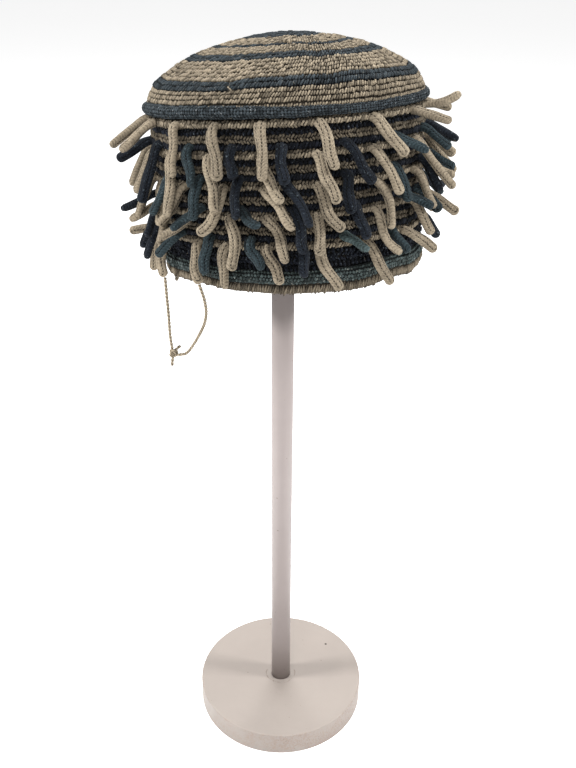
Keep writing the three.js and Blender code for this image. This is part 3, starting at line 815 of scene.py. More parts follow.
def kept_piece(bm, name, materials, node, reshape=None, place=True):
    """Turns a bmesh into a finished piece; where it stands for a node, it replaces that node."""
    mesh = mesh_of(bm, name)
    points = numbers(mesh.vertices, "co", 3)
    if reshape:
        layers = {key: mesh.attributes[key].data for key in MARKS}
        keys = {1: "value", 3: "vector"}
        marks = {key: numbers(layers[key], keys[width], width) for key, width in MARKS.items()}
        points = reshape(points, marks)
        for key, width in MARKS.items():
            layers[key].foreach_set(keys[width], marks[key].ravel())
    if place:
        matrix = np.array(cap_matrix())
        points = points @ matrix[:3, :3].T + matrix[:3, 3]
    mesh.vertices.foreach_set("co", points.ravel())
    for material in materials:
        mesh.materials.append(material)
    mesh.update()
    piece = added(name, mesh)
    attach(piece, "root")
    if node:
        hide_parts(node)
    return piece


def lengths_along(path):
    """Length of a path from its start to each of its points."""
    return np.concatenate([[0], np.cumsum(np.linalg.norm(np.diff(path, axis=0), axis=1))])


def unit(rows):
    """Each row's direction."""
    return rows / np.linalg.norm(rows, axis=1, keepdims=True)


def frames_along(path, place, start):
    """Points, and directions across and out, at lengths along a path, without twisting."""
    arc = lengths_along(path)
    along = unit(np.gradient(path, axis=0))
    out = np.empty_like(path)
    carried = np.array(start, dtype=float)
    for step, direction in enumerate(along):
        carried = carried - direction * (carried @ direction)
        carried /= np.linalg.norm(carried)
        out[step] = carried
    points, along, out = (
        np.stack([np.interp(place, arc, rows[:, k]) for k in range(3)], axis=1)
        for rows in (path, along, out)
    )
    return points, unit(np.cross(along, out)), unit(out)


# A twisted cord's mesh and its plies: its sides, the length of a ring, the length in which the
# plies turn once, and their shade.
CORD_SIDES = 12
CORD_STEP = 0.0004
PLY_TURN = 0.0056
PLY_SHADE = 0.4


def twisted_cord(bm, route, width):
    """Adds a cord of two plies wound round each other, along a route."""
    length = float(lengths_along(route)[-1])
    rings = max(8, round(length / CORD_STEP))
    cord, ring, angle = blank(CORD_SIDES, rings)
    stations = np.arange(rings + 1)
    place = np.clip((stations - 1) / (rings - 2), 0, 1) * length
    line, across, out = frames_along(route, place, (0, -1, 0))
    girth = np.where((stations == 0) | (stations == rings), 0, 1)
    ply = np.abs(np.cos(angle - place[ring] * (2 * math.pi / PLY_TURN)))
    reach = width / 2 * girth[ring] * (0.6 + 0.75 * ply ** 0.8)
    points = line[ring] + reach[:, None] * (
        across[ring] * np.cos(angle)[:, None] + out[ring] * np.sin(angle)[:, None]
    )
    crest = cord.verts.layers.float["crest"]
    shade = cord.verts.layers.float["shade"]
    for vert, point, height in zip(cord.verts, points, ply):
        vert.co = point
        # Painted shade in the grooves between the plies, where the crest mark is low.
        vert[crest] = 0.45 + 0.55 * height
        vert[shade] = PLY_SHADE
    bmesh.ops.recalc_face_normals(cord, faces=cord.faces)
    merged(bm, cord)


# The points of a loose end's arch, from a little below the surface over its top and back in.
ARCH_TURNS = np.linspace(-0.2, 1.15, 13) * math.pi


def yarn_arch(bm, place, lift, reach, width):
    """Adds a small arch of yarn that leaves the surface and comes back to it."""
    route = [place + lift * math.sin(turn) - reach * 0.5 * math.cos(turn) for turn in ARCH_TURNS]
    twisted_cord(bm, np.array([point[:] for point in route]), width)


# Crown, wall and hem


# The crown's slope at a point is taken from this far before it to this far past it.
SLOPE_REACH = 0.004


def crown_arc():
    """Arc length, radius and height along the crown, from its edge to its apex."""
    s = sizes()
    rows = np.array(CROWN_OUTLINE)
    radius = rows[:, 0] * s.crown_radius
    height = roll_height() + rows[:, 1] * s.crown_rise
    step = np.hypot(np.diff(radius), np.diff(height))
    return np.concatenate([[0], np.cumsum(step)]), radius, height


def crown_rounds():
    """Each round of crown stitches from the apex out: arc from the apex, row width, yarn."""
    total = crown_arc()[0][-1]
    rounds = []
    reached = 0.0
    for yarn, count, share in CROWN_BANDS:
        width = share * total / count
        for _ in range(count):
            rounds.append((reached + width / 2, width, yarn))
            reached += width
    return rounds


def crown_point(from_apex, depth=0):
    """Radius, height and slope of the crown at an arc length from its apex, and at a depth."""
    arc, radius, height = crown_arc()
    at = arc[-1] - from_apex
    near = np.interp([at - SLOPE_REACH, at, at + SLOPE_REACH], arc, radius)
    high = np.interp([at - SLOPE_REACH, at, at + SLOPE_REACH], arc, height)
    slope = math.atan2(high[2] - high[0], near[0] - near[2])
    return near[1] - depth * math.sin(slope), high[1] - depth * math.cos(slope), slope


def crown_colour(radius, height):
    """Material number of the band nearest to a point of the crown: 0 tan, 1 blue."""
    arc, radii, heights = crown_arc()
    fine = np.linspace(0, arc[-1], 400)
    gap = np.hypot(np.interp(fine, arc, radii) - radius, np.interp(fine, arc, heights) - height)
    from_apex = arc[-1] - fine[int(np.argmin(gap))]
    yarns = (yarn for middle, width, yarn in crown_rounds() if from_apex <= middle + width / 2)
    return BAND_YARNS.index(next(yarns, "tan"))


# The crown's stitches: how deep they lie, their slant, their width as a share of the pitch, their
# thickness, and their height as a share of the round's; then the smallest round.
CROWN_SINK = 0.0013
CROWN_SLANT = 30
CROWN_OVERLAP = 1.04
CROWN_DEEP = 0.0036
CROWN_TALL = 1.34
SMALLEST_ROUND = 0.0022
FEWEST_STITCHES = 5

# A spare round of tan under the crown's edge hides the roll's seam.
SPARE_STITCHES = 340
SPARE_TALL = 0.0038
SPARE_SINK = 0.0008
SPARE_RISE = 0.0024

# How the crown's drift fades out: height of its middle as a share of the rise, its reach up and
# down, and the height over the roll where it begins and the reach in which it comes in; then how
# much of it goes down and how much out.
DRIFT_MIDDLE = 0.42
DRIFT_REACH = 0.009
DRIFT_FOOT = 0.003
DRIFT_RISE = 0.01
DRIFT_DOWN = 0.8
DRIFT_OUT = 0.55


def crown_loose_ends(bm):
    """Adds the loose ends of yarn on the crown."""
    for azimuth, from_apex, reach, lift, turn, width in LOOSE_ENDS:
        radius, height, slope = crown_point(from_apex)
        around = Matrix.Rotation(math.radians(azimuth), 3, "Z")
        out = around @ Vector((0, -math.sin(slope), math.cos(slope)))
        down = around @ Vector((0, -math.cos(slope), -math.sin(slope)))
        side = around @ Vector((math.cos(math.radians(turn)), 0, 0))
        side += down * math.sin(math.radians(turn))
        yarn_arch(bm, around @ Vector((0, -radius, height)), out * lift, side * reach, width)


def make_crown():
    """The striped dome: rounds of stitches over a knitted shell."""
    s = sizes()
    bm = bmesh.new()
    rows = []
    for from_apex, width, yarn in crown_rounds():
        radius, height, slope = crown_point(from_apex, CROWN_SINK)
        radius = max(radius, SMALLEST_ROUND)
        count = max(FEWEST_STITCHES, round(2 * math.pi * radius / s.stitch))
        size = (pitch(radius, count) * CROWN_OVERLAP, CROWN_DEEP, width * CROWN_TALL)
        tilt = slope - math.pi / 2
        material = BAND_YARNS.index(yarn)
        rows.append(stitch_row(bm, count, radius, height, size, tilt, CROWN_SLANT, material))
    radius = s.crown_radius - SPARE_SINK
    height = roll_height() + SPARE_RISE
    size = (pitch(s.crown_radius, SPARE_STITCHES) * CROWN_OVERLAP, CROWN_DEEP, SPARE_TALL)
    rows.append(stitch_row(bm, SPARE_STITCHES, radius, height, size, 0, CROWN_SLANT, 0))
    spun_shell(bm, crown_section(), closed=False, material_of=crown_colour)
    crown_loose_ends(bm)

    def reshape(points, marks):
        points = ripple(loosened(points, marks, rows, 11), 12, 0.0005, 0.0005)
        edge = roll_height() + DRIFT_MIDDLE * s.crown_rise
        weight = np.exp(-((points[:, 2] - edge) / DRIFT_REACH) ** 2)
        weight *= np.clip((points[:, 2] - roll_height() - DRIFT_FOOT) / DRIFT_RISE, 0, 1)
        drift = 0.001 * round_the_cap(CROWN_DRIFT, points) * weight
        points[:, 2] -= drift * DRIFT_DOWN
        reach = np.maximum(np.hypot(points[:, 0], points[:, 1]), 0.001)
        points[:, :2] *= (1 + drift * DRIFT_OUT / reach)[:, None]
        return points

    looks = [stitch_yarn(f"crown {yarn} yarn", getattr(colours(), yarn)) for yarn in BAND_YARNS]
    kept_piece(bm, "knitted_crown", looks, "crown", reshape)


def crown_section():
    """Outline of the crown's shell, from its inner apex round the edge to its outer apex."""
    s = sizes()
    arc = crown_arc()[0][-1]
    seat = roll_height() + s.roll_thickness / 2 + FIT_GAP
    steps = np.linspace(0, arc * 0.999, 26)
    outer = []
    inner = []
    for from_apex in steps:
        for side, depth in ((outer, CROWN_SHELL_SINK), (inner, s.knit)):
            radius, height, _ = crown_point(from_apex, depth)
            side.append((max(radius, 0.0), max(height, seat)))
    outer[0] = (0.0, outer[0][1])
    inner[0] = (0.0, inner[0][1])
    foot = [(inner[-1][0], roll_height()), (outer[-1][0], roll_height())]
    return [*inner, *foot, *reversed(outer)]


# The roll's rounds: their angles round its middle, their stitches' number, depth, width as a
# share of the pitch, thickness and height, and slant; then the flats of the core under them.
ROLL_ANGLES = (-92, -62, -31, 0, 31, 62, 92)
ROLL_STITCHES = 300
ROLL_SINK = 0.0007
ROLL_OVERLAP = 1.25
ROLL_STITCH = (0.0017, 0.0028)
ROLL_SLANT = 38
ROLL_FLATS = 14
ROLL_SIDES = 96
ROLL_FLECK = (0.34, 0.36, 0.37)


def make_roll():
    """The fat blue roll round the crown's edge, worked in fine slanted stitches."""
    s = sizes()
    bm = bmesh.new()
    core = s.roll_thickness / 2 - ROLL_SINK

    def on_core(turn):
        return s.crown_radius + core * math.cos(turn), roll_height() + core * math.sin(turn)

    rows = []
    for angle in ROLL_ANGLES:
        turn = math.radians(angle)
        radius, height = on_core(turn)
        size = (pitch(radius, ROLL_STITCHES) * ROLL_OVERLAP, *ROLL_STITCH)
        rows.append(stitch_row(bm, ROLL_STITCHES, radius, height, size, -turn, ROLL_SLANT, 0))
    outline = [on_core(2 * math.pi * step / ROLL_FLATS) for step in range(ROLL_FLATS)]
    spun_shell(bm, outline, ROLL_SIDES, crest=0.15)

    def reshape(points, marks):
        points = loosened(points, marks, rows, 21, 0.00016, 0.08)
        girth = round_the_cap(ROLL_GIRTH, points)
        reach = np.hypot(points[:, 0], points[:, 1])
        foot = roll_height() - s.roll_thickness / 2
        points[:, 2] = foot + (points[:, 2] - foot) * girth
        points[:, :2] *= ((s.crown_radius + (reach - s.crown_radius) * girth) / reach)[:, None]
        return ripple(points, 22, 0.0003, 0.0003)

    look = stitch_yarn("roll blue yarn", shaded(colours().blue, 1.1), ROLL_FLECK, 0.6)
    kept_piece(bm, "blue_edge_roll", [look], "edge_roll", reshape)


# A stripe pair of the wall from its top down: share of the pair, stitch width, slant, how far
# it stands out in metres, how bright its crests are, and the yarn (0 tan, 1 dark). The brightness
# paints light: the upper round of each stripe gets painted shade, the lower tan one a painted
# highlight.
WALL_STRIPES = (
    (0.28, 0.00195, 36, -0.0001, 0.9, 0),
    (0.26, 0.0019, -40, 0.0003, 1.05, 0),
    (0.22, 0.0029, 24, -0.0004, 0.8, 1),
    (0.24, 0.0029, -20, -0.0002, 1.0, 1),
)


# The wall's stitches: how deep they and the hem band's lie, their width and height as shares of
# the stitch's and the round's, and their thickness.
WALL_SINK = 0.0011
WALL_OVERLAP = 1.02
WALL_TALL = 1.6
WALL_DEEP = 0.0034
WALL_FLECK = (0.22, 0.25, 0.28)


def make_wall():
    """The drum: narrow tan and dark rounds of leaning stitches over a knitted shell."""
    s = sizes()
    bm = bmesh.new()
    rows = []
    low = wall_foot_height()
    high = wall_top_height()
    pairs = round(s.wall_height / s.wall_pair)
    pair = s.wall_height / pairs
    tilt = math.atan2(s.crown_radius - s.wall_foot, s.wall_height)
    height = high
    for _ in range(pairs):
        for share, width, slant, out, painted_light, yarn in WALL_STRIPES:
            middle = height - share * pair / 2
            material = 1 if middle < low + s.dark_foot else yarn
            radius = float(wall_radius(middle)) - WALL_SINK + out
            count = round(2 * math.pi * radius / width)
            size = (width * WALL_OVERLAP, WALL_DEEP, share * pair * WALL_TALL)
            sides = 4 if yarn else 5
            rows.append(stitch_row(
                bm, count, radius, middle, size, tilt, slant, material, sides, painted_light=painted_light
            ))
            height -= share * pair
    steps = np.linspace(low, high, 2 * pairs + 1)
    steps[0] -= WALL_SHELL_SINK
    steps[-1] += WALL_SHELL_SINK
    outer = [(float(wall_radius(z)) - WALL_SHELL_SINK, float(z)) for z in steps]
    inner = [(float(wall_radius(z)) - s.knit, float(z)) for z in steps[::-1]]

    def stripe_of(radius, at):
        return int((high - at) / pair * 2) % 2

    spun_shell(bm, [*outer, *inner], material_of=stripe_of)

    def reshape(points, marks):
        points = loosened(points, marks, rows, 31, 0.00032, 0.13)
        return waved(ripple(points, 32, 0.0007, 0.0005))

    c = colours()
    looks = [
        # The wall's tan is the tan yarn at about half: painted shade of the fingers that overhang the
        # wall.
        stitch_yarn("wall tan yarn", shaded(c.tan, 0.51)),
        stitch_yarn("wall dark yarn", c.dark, WALL_FLECK, 0.5),
    ]
    kept_piece(bm, "striped_side_wall", looks, "side_wall", reshape)


# The hem's rounds and the outlines of the shells under them: how far out, as a share of the hem's
# depth, and how high, as a share of the band's or the edge's height. The band's stitches tilt
# from the first of its tilts at its foot to the second at its top.
BAND_ROUNDS = ((0.84, 0.1), (0.95, 0.36), (0.9, 0.62), (0.66, 0.87))
BAND_OUTLINE = ((0, 0), (0.72, 0), (0.78, 0.5), (0.45, 1), (0, 1))
EDGE_OUTLINE = ((0.2, 0.12), (0.55, 0.12), (0.62, 1), (0, 1))
BAND_STITCHES = 262
BAND_OVERLAP = 1.2
BAND_STITCH = (0.0026, 0.0029)
BAND_SLANT = 34
BAND_TILTS = (-18, 28)
EDGE_STITCHES = 350
EDGE_OVERLAP = 1.12
EDGE_DEEP = 0.0046
EDGE_TALL = 1.04
EDGE_TILT = 6
EDGE_SLANT = 16
BAND_FLECK = (0.5, 0.5, 0.46)

# The loose loop of yarn at the hem: its azimuth, and its place, drop and reach on the cap's front.
LOOP_AZIMUTH = -61
LOOP_OFFSET = (0, -0.002, 0.002)
LOOP_DROP = (0, -0.0008, -0.0036)
LOOP_REACH = (0.0042, 0, 0)


def hem_outline(shares, foot, tall):
    """Radius and height of each point of a hem's outline."""
    s = sizes()
    inner = s.wall_foot - s.knit
    return [(inner + s.hem_depth * out, foot + tall * up) for out, up in shares]


def make_hem_band():
    """The green-grey rolled band at the wall's foot."""
    s = sizes()
    bm = bmesh.new()
    rows = []
    foot = s.hem_edge + FIT_GAP
    for (_, up), (reach, height) in zip(BAND_ROUNDS, hem_outline(BAND_ROUNDS, foot, s.hem_band)):
        radius = reach - WALL_SINK
        size = (pitch(radius, BAND_STITCHES) * BAND_OVERLAP, *BAND_STITCH)
        tilt = math.radians(np.interp(up, (0, 1), BAND_TILTS))
        rows.append(stitch_row(bm, BAND_STITCHES, radius, height, size, tilt, BAND_SLANT, 0))
    spun_shell(bm, hem_outline(BAND_OUTLINE, foot, s.hem_band), crest=0.25)

    def reshape(points, marks):
        return waved(loosened(points, marks, rows, 41))

    look = stitch_yarn("hem green yarn", colours().green, BAND_FLECK, 0.7)
    kept_piece(bm, "green_hem_band", [look], "hem_band", reshape)


def make_hem_edge():
    """The tan lower edge, oversewn with upright stitches, and the loose loop under it."""
    s = sizes()
    bm = bmesh.new()
    [(radius, middle)] = hem_outline([(0.42, 0.5)], 0, s.hem_edge)
    size = (pitch(radius, EDGE_STITCHES) * EDGE_OVERLAP, EDGE_DEEP, s.hem_edge * EDGE_TALL)
    tilt = math.radians(EDGE_TILT)
    rows = [stitch_row(bm, EDGE_STITCHES, radius, middle, size, tilt, EDGE_SLANT, 0, 6, 4)]
    spun_shell(bm, hem_outline(EDGE_OUTLINE, 0, s.hem_edge), crest=0.2)
    around = Matrix.Rotation(math.radians(LOOP_AZIMUTH), 3, "Z")
    place = around @ (Vector((0, -radius, 0)) + Vector(LOOP_OFFSET))
    drop = around @ Vector(LOOP_DROP)
    yarn_arch(bm, place, drop, around @ Vector(LOOP_REACH), s.cord_width * 0.7)

    def reshape(points, marks):
        return waved(loosened(points, marks, rows, 51))

    look = stitch_yarn("hem tan yarn", shaded(colours().tan, 0.62))
    kept_piece(bm, "oversewn_hem_edge", [look], "hem_edge", reshape)


# Fingers


def ring_height(name, course):
    """Height of a ring's stripe."""
    s = sizes()
    height = wall_top_height() - s.first_drop - course * s.ring_pitch
    return height - (s.dark_drop if name.startswith("dark") else 0)


def ring_rows(rows):
    """A ring's fingers all round: the front's rows, and the inner ones mirrored behind."""
    back = []
    for azimuth, length, lift, tip_lift, lean, tip_lean, *yarn in rows[1:-1]:
        behind = BACK_TURN - BACK_SPREAD * azimuth
        back.append((behind, length, lift, tip_lift, -lean, -tip_lean, *yarn))
    return [*rows, *back]


def flat_share(azimuth):
    """The frame's wall has flats; the fingers' roots follow them by this share of the radius."""
    half = math.pi / sizes().cap_sides
    turn = azimuth % (2 * half) - half
    return math.cos(half) / math.cos(turn)


def finger_path(row, height, give_lift=0, give_lean=0):
    """Points along a finger's middle, from its root on the wall to its tip."""
    s = sizes()
    azimuth = math.radians(row[0])
    length = row[1] * s.finger_length
    outward = np.array([math.sin(azimuth), -math.cos(azimuth), 0])
    sideways = np.array([math.cos(azimuth), math.sin(azimuth), 0])
    radius = (wall_radius(height) + FIT_GAP + s.band_thickness / 2) * flat_share(azimuth)
    root = waved((outward * radius + np.array([0, 0, height]))[None])[0]
    share = (np.arange(PATH_STEPS) + 0.5) / PATH_STEPS
    bend = 1 - np.minimum(share * length / s.finger_bend, 1)
    free = row[2] + (row[3] - row[2]) * share + give_lift
    lift = np.radians(free + (90 - free) * bend ** 2)
    lean = np.radians(row[4] + (row[5] - row[4]) * share + give_lean)
    stride = length / PATH_STEPS
    steps = np.outer(np.sin(lift), outward) + np.outer(np.cos(lift) * np.sin(lean), sideways)
    steps[:, 2] -= np.cos(lift) * np.cos(lean)
    return np.vstack([root, root + np.cumsum(stride * steps, axis=0)])


def settled_path(row, height, placed):
    """A finger lies as its row says, or gives way by the fewest degrees that keep it clear."""
    s = sizes()
    needed = s.finger_width + FINGER_CLEARANCE
    root = finger_path(row, height)[0]
    near = [other for other in placed if np.linalg.norm(other[0] - root) < 3 * s.finger_length]
    others = np.concatenate(near) if near else np.zeros((0, 3))
    best = None
    best_room = -1.0
    for give_lift in SETTLE_LIFTS:
        for give_lean in SETTLE_LEANS:
            path = finger_path(row, height, give_lift, give_lean)
            room = needed
            if len(others):
                gaps = np.linalg.norm(path[:, None] - others[None], axis=2)
                room = min(room, float(gaps.min()))
            if room >= needed:
                return path
            if room > best_room:
                best, best_room = path, room
    return best


def bent_finger(path, ring, angle, rng):
    """Bends a blank along a path: a slightly flat knitted tube with a trench inside its edge."""
    s = sizes()
    radius = s.finger_width / 2
    length = lengths_along(path)[-1]
    last = FINGER_MESH_RINGS
    shaft_end = last - FINGER_TIP_RINGS
    stations = np.arange(last + 1, dtype=float)
    tip = np.clip((stations - shaft_end) / FINGER_TIP_RINGS, 0, 1) * math.pi / 2
    place = np.where(
        stations <= shaft_end,
        (stations - 1).clip(0) / (shaft_end - 1) * (length - radius),
        length - radius + radius * np.sin(tip),
    )
    girth = np.cos(tip)
    girth[0] = 0
    line, across, out = frames_along(path, place, (0, 0, 1))
    share = place / length
    sway = FINGER_SWAY * np.sin(2 * math.pi * (share * rng.uniform(0.7, 1.2) + rng.uniform(0, 1)))
    line = line + across * (sway * 4 * share * (1 - share))[:, None]
    twist = rng.uniform(-0.5, 0.5) + rng.uniform(-1.1, 1.1) * share
    swell = 1 + FINGER_SWELL * np.sin(place * rng.uniform(180, 320) + rng.uniform(0, 6))
    wide = across * np.cos(twist)[:, None] + out * np.sin(twist)[:, None]
    thick = out * np.cos(twist)[:, None] - across * np.sin(twist)[:, None]
    x = np.cos(angle) * girth[ring]
    y = np.sin(angle) * girth[ring]
    rim = np.sqrt(x ** 2 + np.sin(tip)[ring] ** 2)
    beat = np.cos(2 * math.pi * place / FINGER_STITCH)[ring]
    trench = np.exp(-((rim - TRENCH_PLACE) / TRENCH_WIDTH) ** 2)
    relief = EDGE_SWELL * np.exp(-((rim - 1.0) / EDGE_WIDTH) ** 2)
    relief -= TRENCH_DEPTH * trench * (0.75 + 0.25 * beat)
    spread = (radius + relief)[:, None] * swell[ring][:, None]
    flat = wide[ring] * FINGER_WIDE * x[:, None] + thick[ring] * FINGER_THICK * y[:, None]
    points = line[ring] + spread * flat
    lay = np.stack([x * radius, y * radius, place[ring]], axis=1)
    return points, rim, lay


# The round that a ring of fingers grows from: its stitches' number, depth, width as a share of
# the pitch, thickness and height, tilt in radians and slant in degrees.
ROOT_STITCHES = 290
ROOT_SINK = 0.0004
ROOT_OVERLAP = 1.05
ROOT_STITCH = (0.0034, 0.005)
ROOT_TILT = 0.03
ROOT_SLANT = 32

# Fluff in the dark roots and in the dark fingers.
ROOT_FLECK = (0.3, 0.3, 0.3)
DARK_FLECK = (0.13, 0.16, 0.18)


def root_row(bm, height):
    """The round of stitches that a ring of fingers grows from."""
    radius = float(wall_radius(height)) - ROOT_SINK
    size = (pitch(radius, ROOT_STITCHES) * ROOT_OVERLAP, *ROOT_STITCH)
    return stitch_row(bm, ROOT_STITCHES, radius, height, size, ROOT_TILT, ROOT_SLANT, 0)


def make_ring(name, course, usual, rows, placed, seed, looks):
    """One ring of knitted fingers with the round that it grows from."""
    height = ring_height(name, course)
    paths = []
    for row in rows:
        path = settled_path(row, height, placed)
        placed.append(path)
        paths.append(path)
    bm = bmesh.new()
    stitches = root_row(bm, height)
    start = len(bm.verts)
    face_start = len(bm.faces)
    finger, ring, angle = blank(FINGER_SIDES, FINGER_MESH_RINGS)
    size = len(ring)
    face_count = len(finger.faces)
    merged(bm, finger, len(rows))
    bm.faces.ensure_lookup_table()
    names = list(looks)
    for number, row in enumerate(rows):
        low = face_start + number * face_count
        for face in bm.faces[low:low + face_count]:
            face.material_index = names.index(row[6] if len(row) > 6 else usual)
    rng = np.random.default_rng(seed)

    def reshape(points, marks):
        points = loosened(points, marks, [stitches], seed + 1)
        points[:start] = waved(points[:start])
        for number, path in enumerate(paths):
            block = slice(start + number * size, start + (number + 1) * size)
            points[block], marks["rim"][block, 0], marks["lay"][block] = bent_finger(
                path, ring, angle, rng
            )
            marks["crest"][block] = 1
            marks["shade"][block] = rng.uniform(0, 0.7)
        return points

    kept_piece(bm, "knitted_" + name, list(looks.values()), name, reshape)


def make_fingers():
    """All rings of fingers, from the hem up, each lying clear of those below."""
    c = colours()
    tan = {
        "root": stitch_yarn("root tan yarn", c.tan),
        "tan": finger_yarn("finger tan yarn", shaded(c.tan, 0.9)),
    }
    dark = {"root": stitch_yarn("root dark yarn", c.dark, ROOT_FLECK, 0.2)}
    for yarn in ("navy", "teal", "grey"):
        # The dark fingers' loops get a stronger painted highlight, 2.3 times their colour.
        dark[yarn] = finger_yarn(f"finger {yarn} yarn", getattr(c, yarn), 2.3, DARK_FLECK, 0.5)
    placed = []
    for number, (name, course, usual, rows) in enumerate(FINGER_RINGS):
        looks = tan if usual == "tan" else dark
        make_ring(name, course, usual, ring_rows(rows), placed, 100 + 10 * number, looks)


# Tie cords


def smooth_route(points, steps):
    """Points on the curve through the route's points, with chords' square roots as its pace."""
    points = np.array(points)
    ends = [2 * points[0] - points[1], *points, 2 * points[-1] - points[-2]]
    spans = len(points) - 1
    curve = []
    for step in range(steps + 1):
        along = min(step / steps * spans, spans - 1e-9)
        span = int(along)
        t = along - span
        a, b, c, d = ends[span:span + 4]
        pace = [max(np.linalg.norm(q - p), 1e-9) ** 0.5 for p, q in ((a, b), (b, c), (c, d))]
        leave = ((b - a) / pace[0] - (c - a) / (pace[0] + pace[1]) + (c - b) / pace[1]) * pace[1]
        arrive = ((c - b) / pace[1] - (d - b) / (pace[1] + pace[2]) + (d - c) / pace[2]) * pace[1]
        square = t * t
        cube = square * t
        curve.append(
            (2 * cube - 3 * square + 1) * b + (cube - 2 * square + t) * leave
            + (3 * square - 2 * cube) * c + (cube - square) * arrive
        )
    return np.array(curve)


# The knot is a band of yarn that runs round twice while it swings in and out three times.
KNOT_STEPS = 30


def knot_point(turn):
    """The point of the knot's band at a turn."""
    wide = sizes().knot_width
    reach = wide * 0.33 * (1.5 + 0.5 * math.cos(3 * turn))
    x, y, z = KNOT_PLACE
    return (
        x + reach * math.cos(2 * turn) * 0.8,
        y + wide * 0.2 * math.sin(3 * turn),
        z + reach * math.sin(2 * turn) * 0.8,
    )


def make_cords():
    """The two tie cords and the knot that joins them."""
    s = sizes()
    look = stitch_yarn("cord tan yarn", shaded(colours().tan, 1.15))
    bm = bmesh.new()
    loop = [knot_point(2 * math.pi * step / KNOT_STEPS) for step in range(KNOT_STEPS + 1)]
    twisted_cord(bm, np.array(loop), s.cord_width * 0.95)
    for tail in (LONG_TAIL, SHORT_TAIL):
        twisted_cord(bm, smooth_route(tail, 8), s.cord_width)
    knot = kept_piece(bm, "tie_knot", [look], "cord_knot", place=False)
    for name, node, points in (
        ("left_tie_cord", "tie_cord_left", LEFT_CORD),
        ("right_tie_cord", "tie_cord_right", RIGHT_CORD),
    ):
        bm = bmesh.new()
        route = smooth_route(points, 24)
        twisted_cord(bm, route, s.cord_width)
        piece = kept_piece(bm, name, [look], node, place=False)


# Stray fibres


# How many fibres stand on a piece, their mesh, how high on the yarn they start, the shortest and
# longest, and the least and most that one stands off as a share of its length.
FIBRES_A_PIECE = 220
FIBRE_SIDES = 3
FIBRE_RINGS = 5
FIBRE_CREST = 0.85
FIBRE_LENGTHS = (0.0012, 0.0034)
FIBRE_RISES = (0.15, 0.75)


def stray_sites(count, rng):
    """Points and outward directions picked at random from the crests of the yarn."""
    points = []
    outward = []
    for piece in bpy.context.scene.objects:
        if not piece.name.startswith(("knitted_", "blue_", "green_", "striped_")):
            continue
        crest = numbers(piece.data.attributes["crest"].data, "value", 1)[:, 0]
        picked = rng.choice(np.flatnonzero(crest > FIBRE_CREST), count)
        points.append(numbers(piece.data.vertices, "co", 3)[picked])
        outward.append(numbers(piece.data.vertex_normals, "vector", 3)[picked])
    return np.concatenate(points), np.concatenate(outward)


def make_fibres():
    """Fine fibres that stand off the yarn, each a thin bent spindle."""
    s = sizes()
    rng = np.random.default_rng(71)
    sites, outward = stray_sites(FIBRES_A_PIECE, rng)
    bm = bmesh.new()
    fibre, ring, angle = blank(FIBRE_SIDES, FIBRE_RINGS)
    merged(bm, fibre, len(sites))
    size = len(ring)
    share = ring / FIBRE_RINGS

    def reshape(points, marks):
        for number, (site, out) in enumerate(zip(sites, outward)):
            side = np.cross(out, rng.standard_normal(3))
            side /= np.linalg.norm(side)
            other = np.cross(out, side)
            length = rng.uniform(*FIBRE_LENGTHS)
            rise = rng.uniform(*FIBRE_RISES) * length
            bow = rng.uniform(-0.5, 0.5) * length
            line = (
                site
                + np.outer(share * (1.6 - share) * rise, out)
                + np.outer(share * length, side)
                + np.outer(share * share * bow, other)
            )
            girth = s.fibre_width / 2 * np.sin(math.pi * (0.12 + 0.82 * share))
            across = np.outer(np.cos(angle) * girth, out) + np.outer(np.sin(angle) * girth, other)
            points[number * size:(number + 1) * size] = line + across
        marks["crest"][:] = 1
        return points

    look = Look("fibre yarn", YARN_ROUGHNESS, YARN_CONSTANTS)
    tan = colours().tan
    body = look.mix(look.noise(300, 1, 0.5), shaded(tan, 0.7), shaded(tan, 1.9))
    kept_piece(bm, "stray_fibres", [look.finish(body)], None, reshape, False)


# Stand


def turned_piece(name, outline, sides, look, node):
    """Wood turned on a lathe, from an outline that starts and ends on the axis, level parts flat."""
    bm = bmesh.new()
    spun_shell(bm, outline, sides, closed=False)
    piece = kept_piece(bm, name, [look], node, place=False)
    bpy.context.view_layer.update()
    for polygon in piece.data.polygons:
        polygon.use_smooth = abs(polygon.normal.z) < 0.999


def rounded(corner, before, after, radius, steps=5):
    """Points of a small round in place of a corner of an outline."""
    corner, before, after = map(np.array, (corner, before, after))
    start = corner + radius * (before - corner) / np.linalg.norm(before - corner)
    end = corner + radius * (after - corner) / np.linalg.norm(after - corner)
    shares = np.linspace(0, 1, steps + 1)
    return [
        tuple((1 - t) ** 2 * start + 2 * t * (1 - t) * corner + t * t * end) for t in shares
    ]


# Flats round the turned pieces, and the steps of the knob's outline.
BASE_SIDES = 128
POST_SIDES = 64
KNOB_STEPS = 24


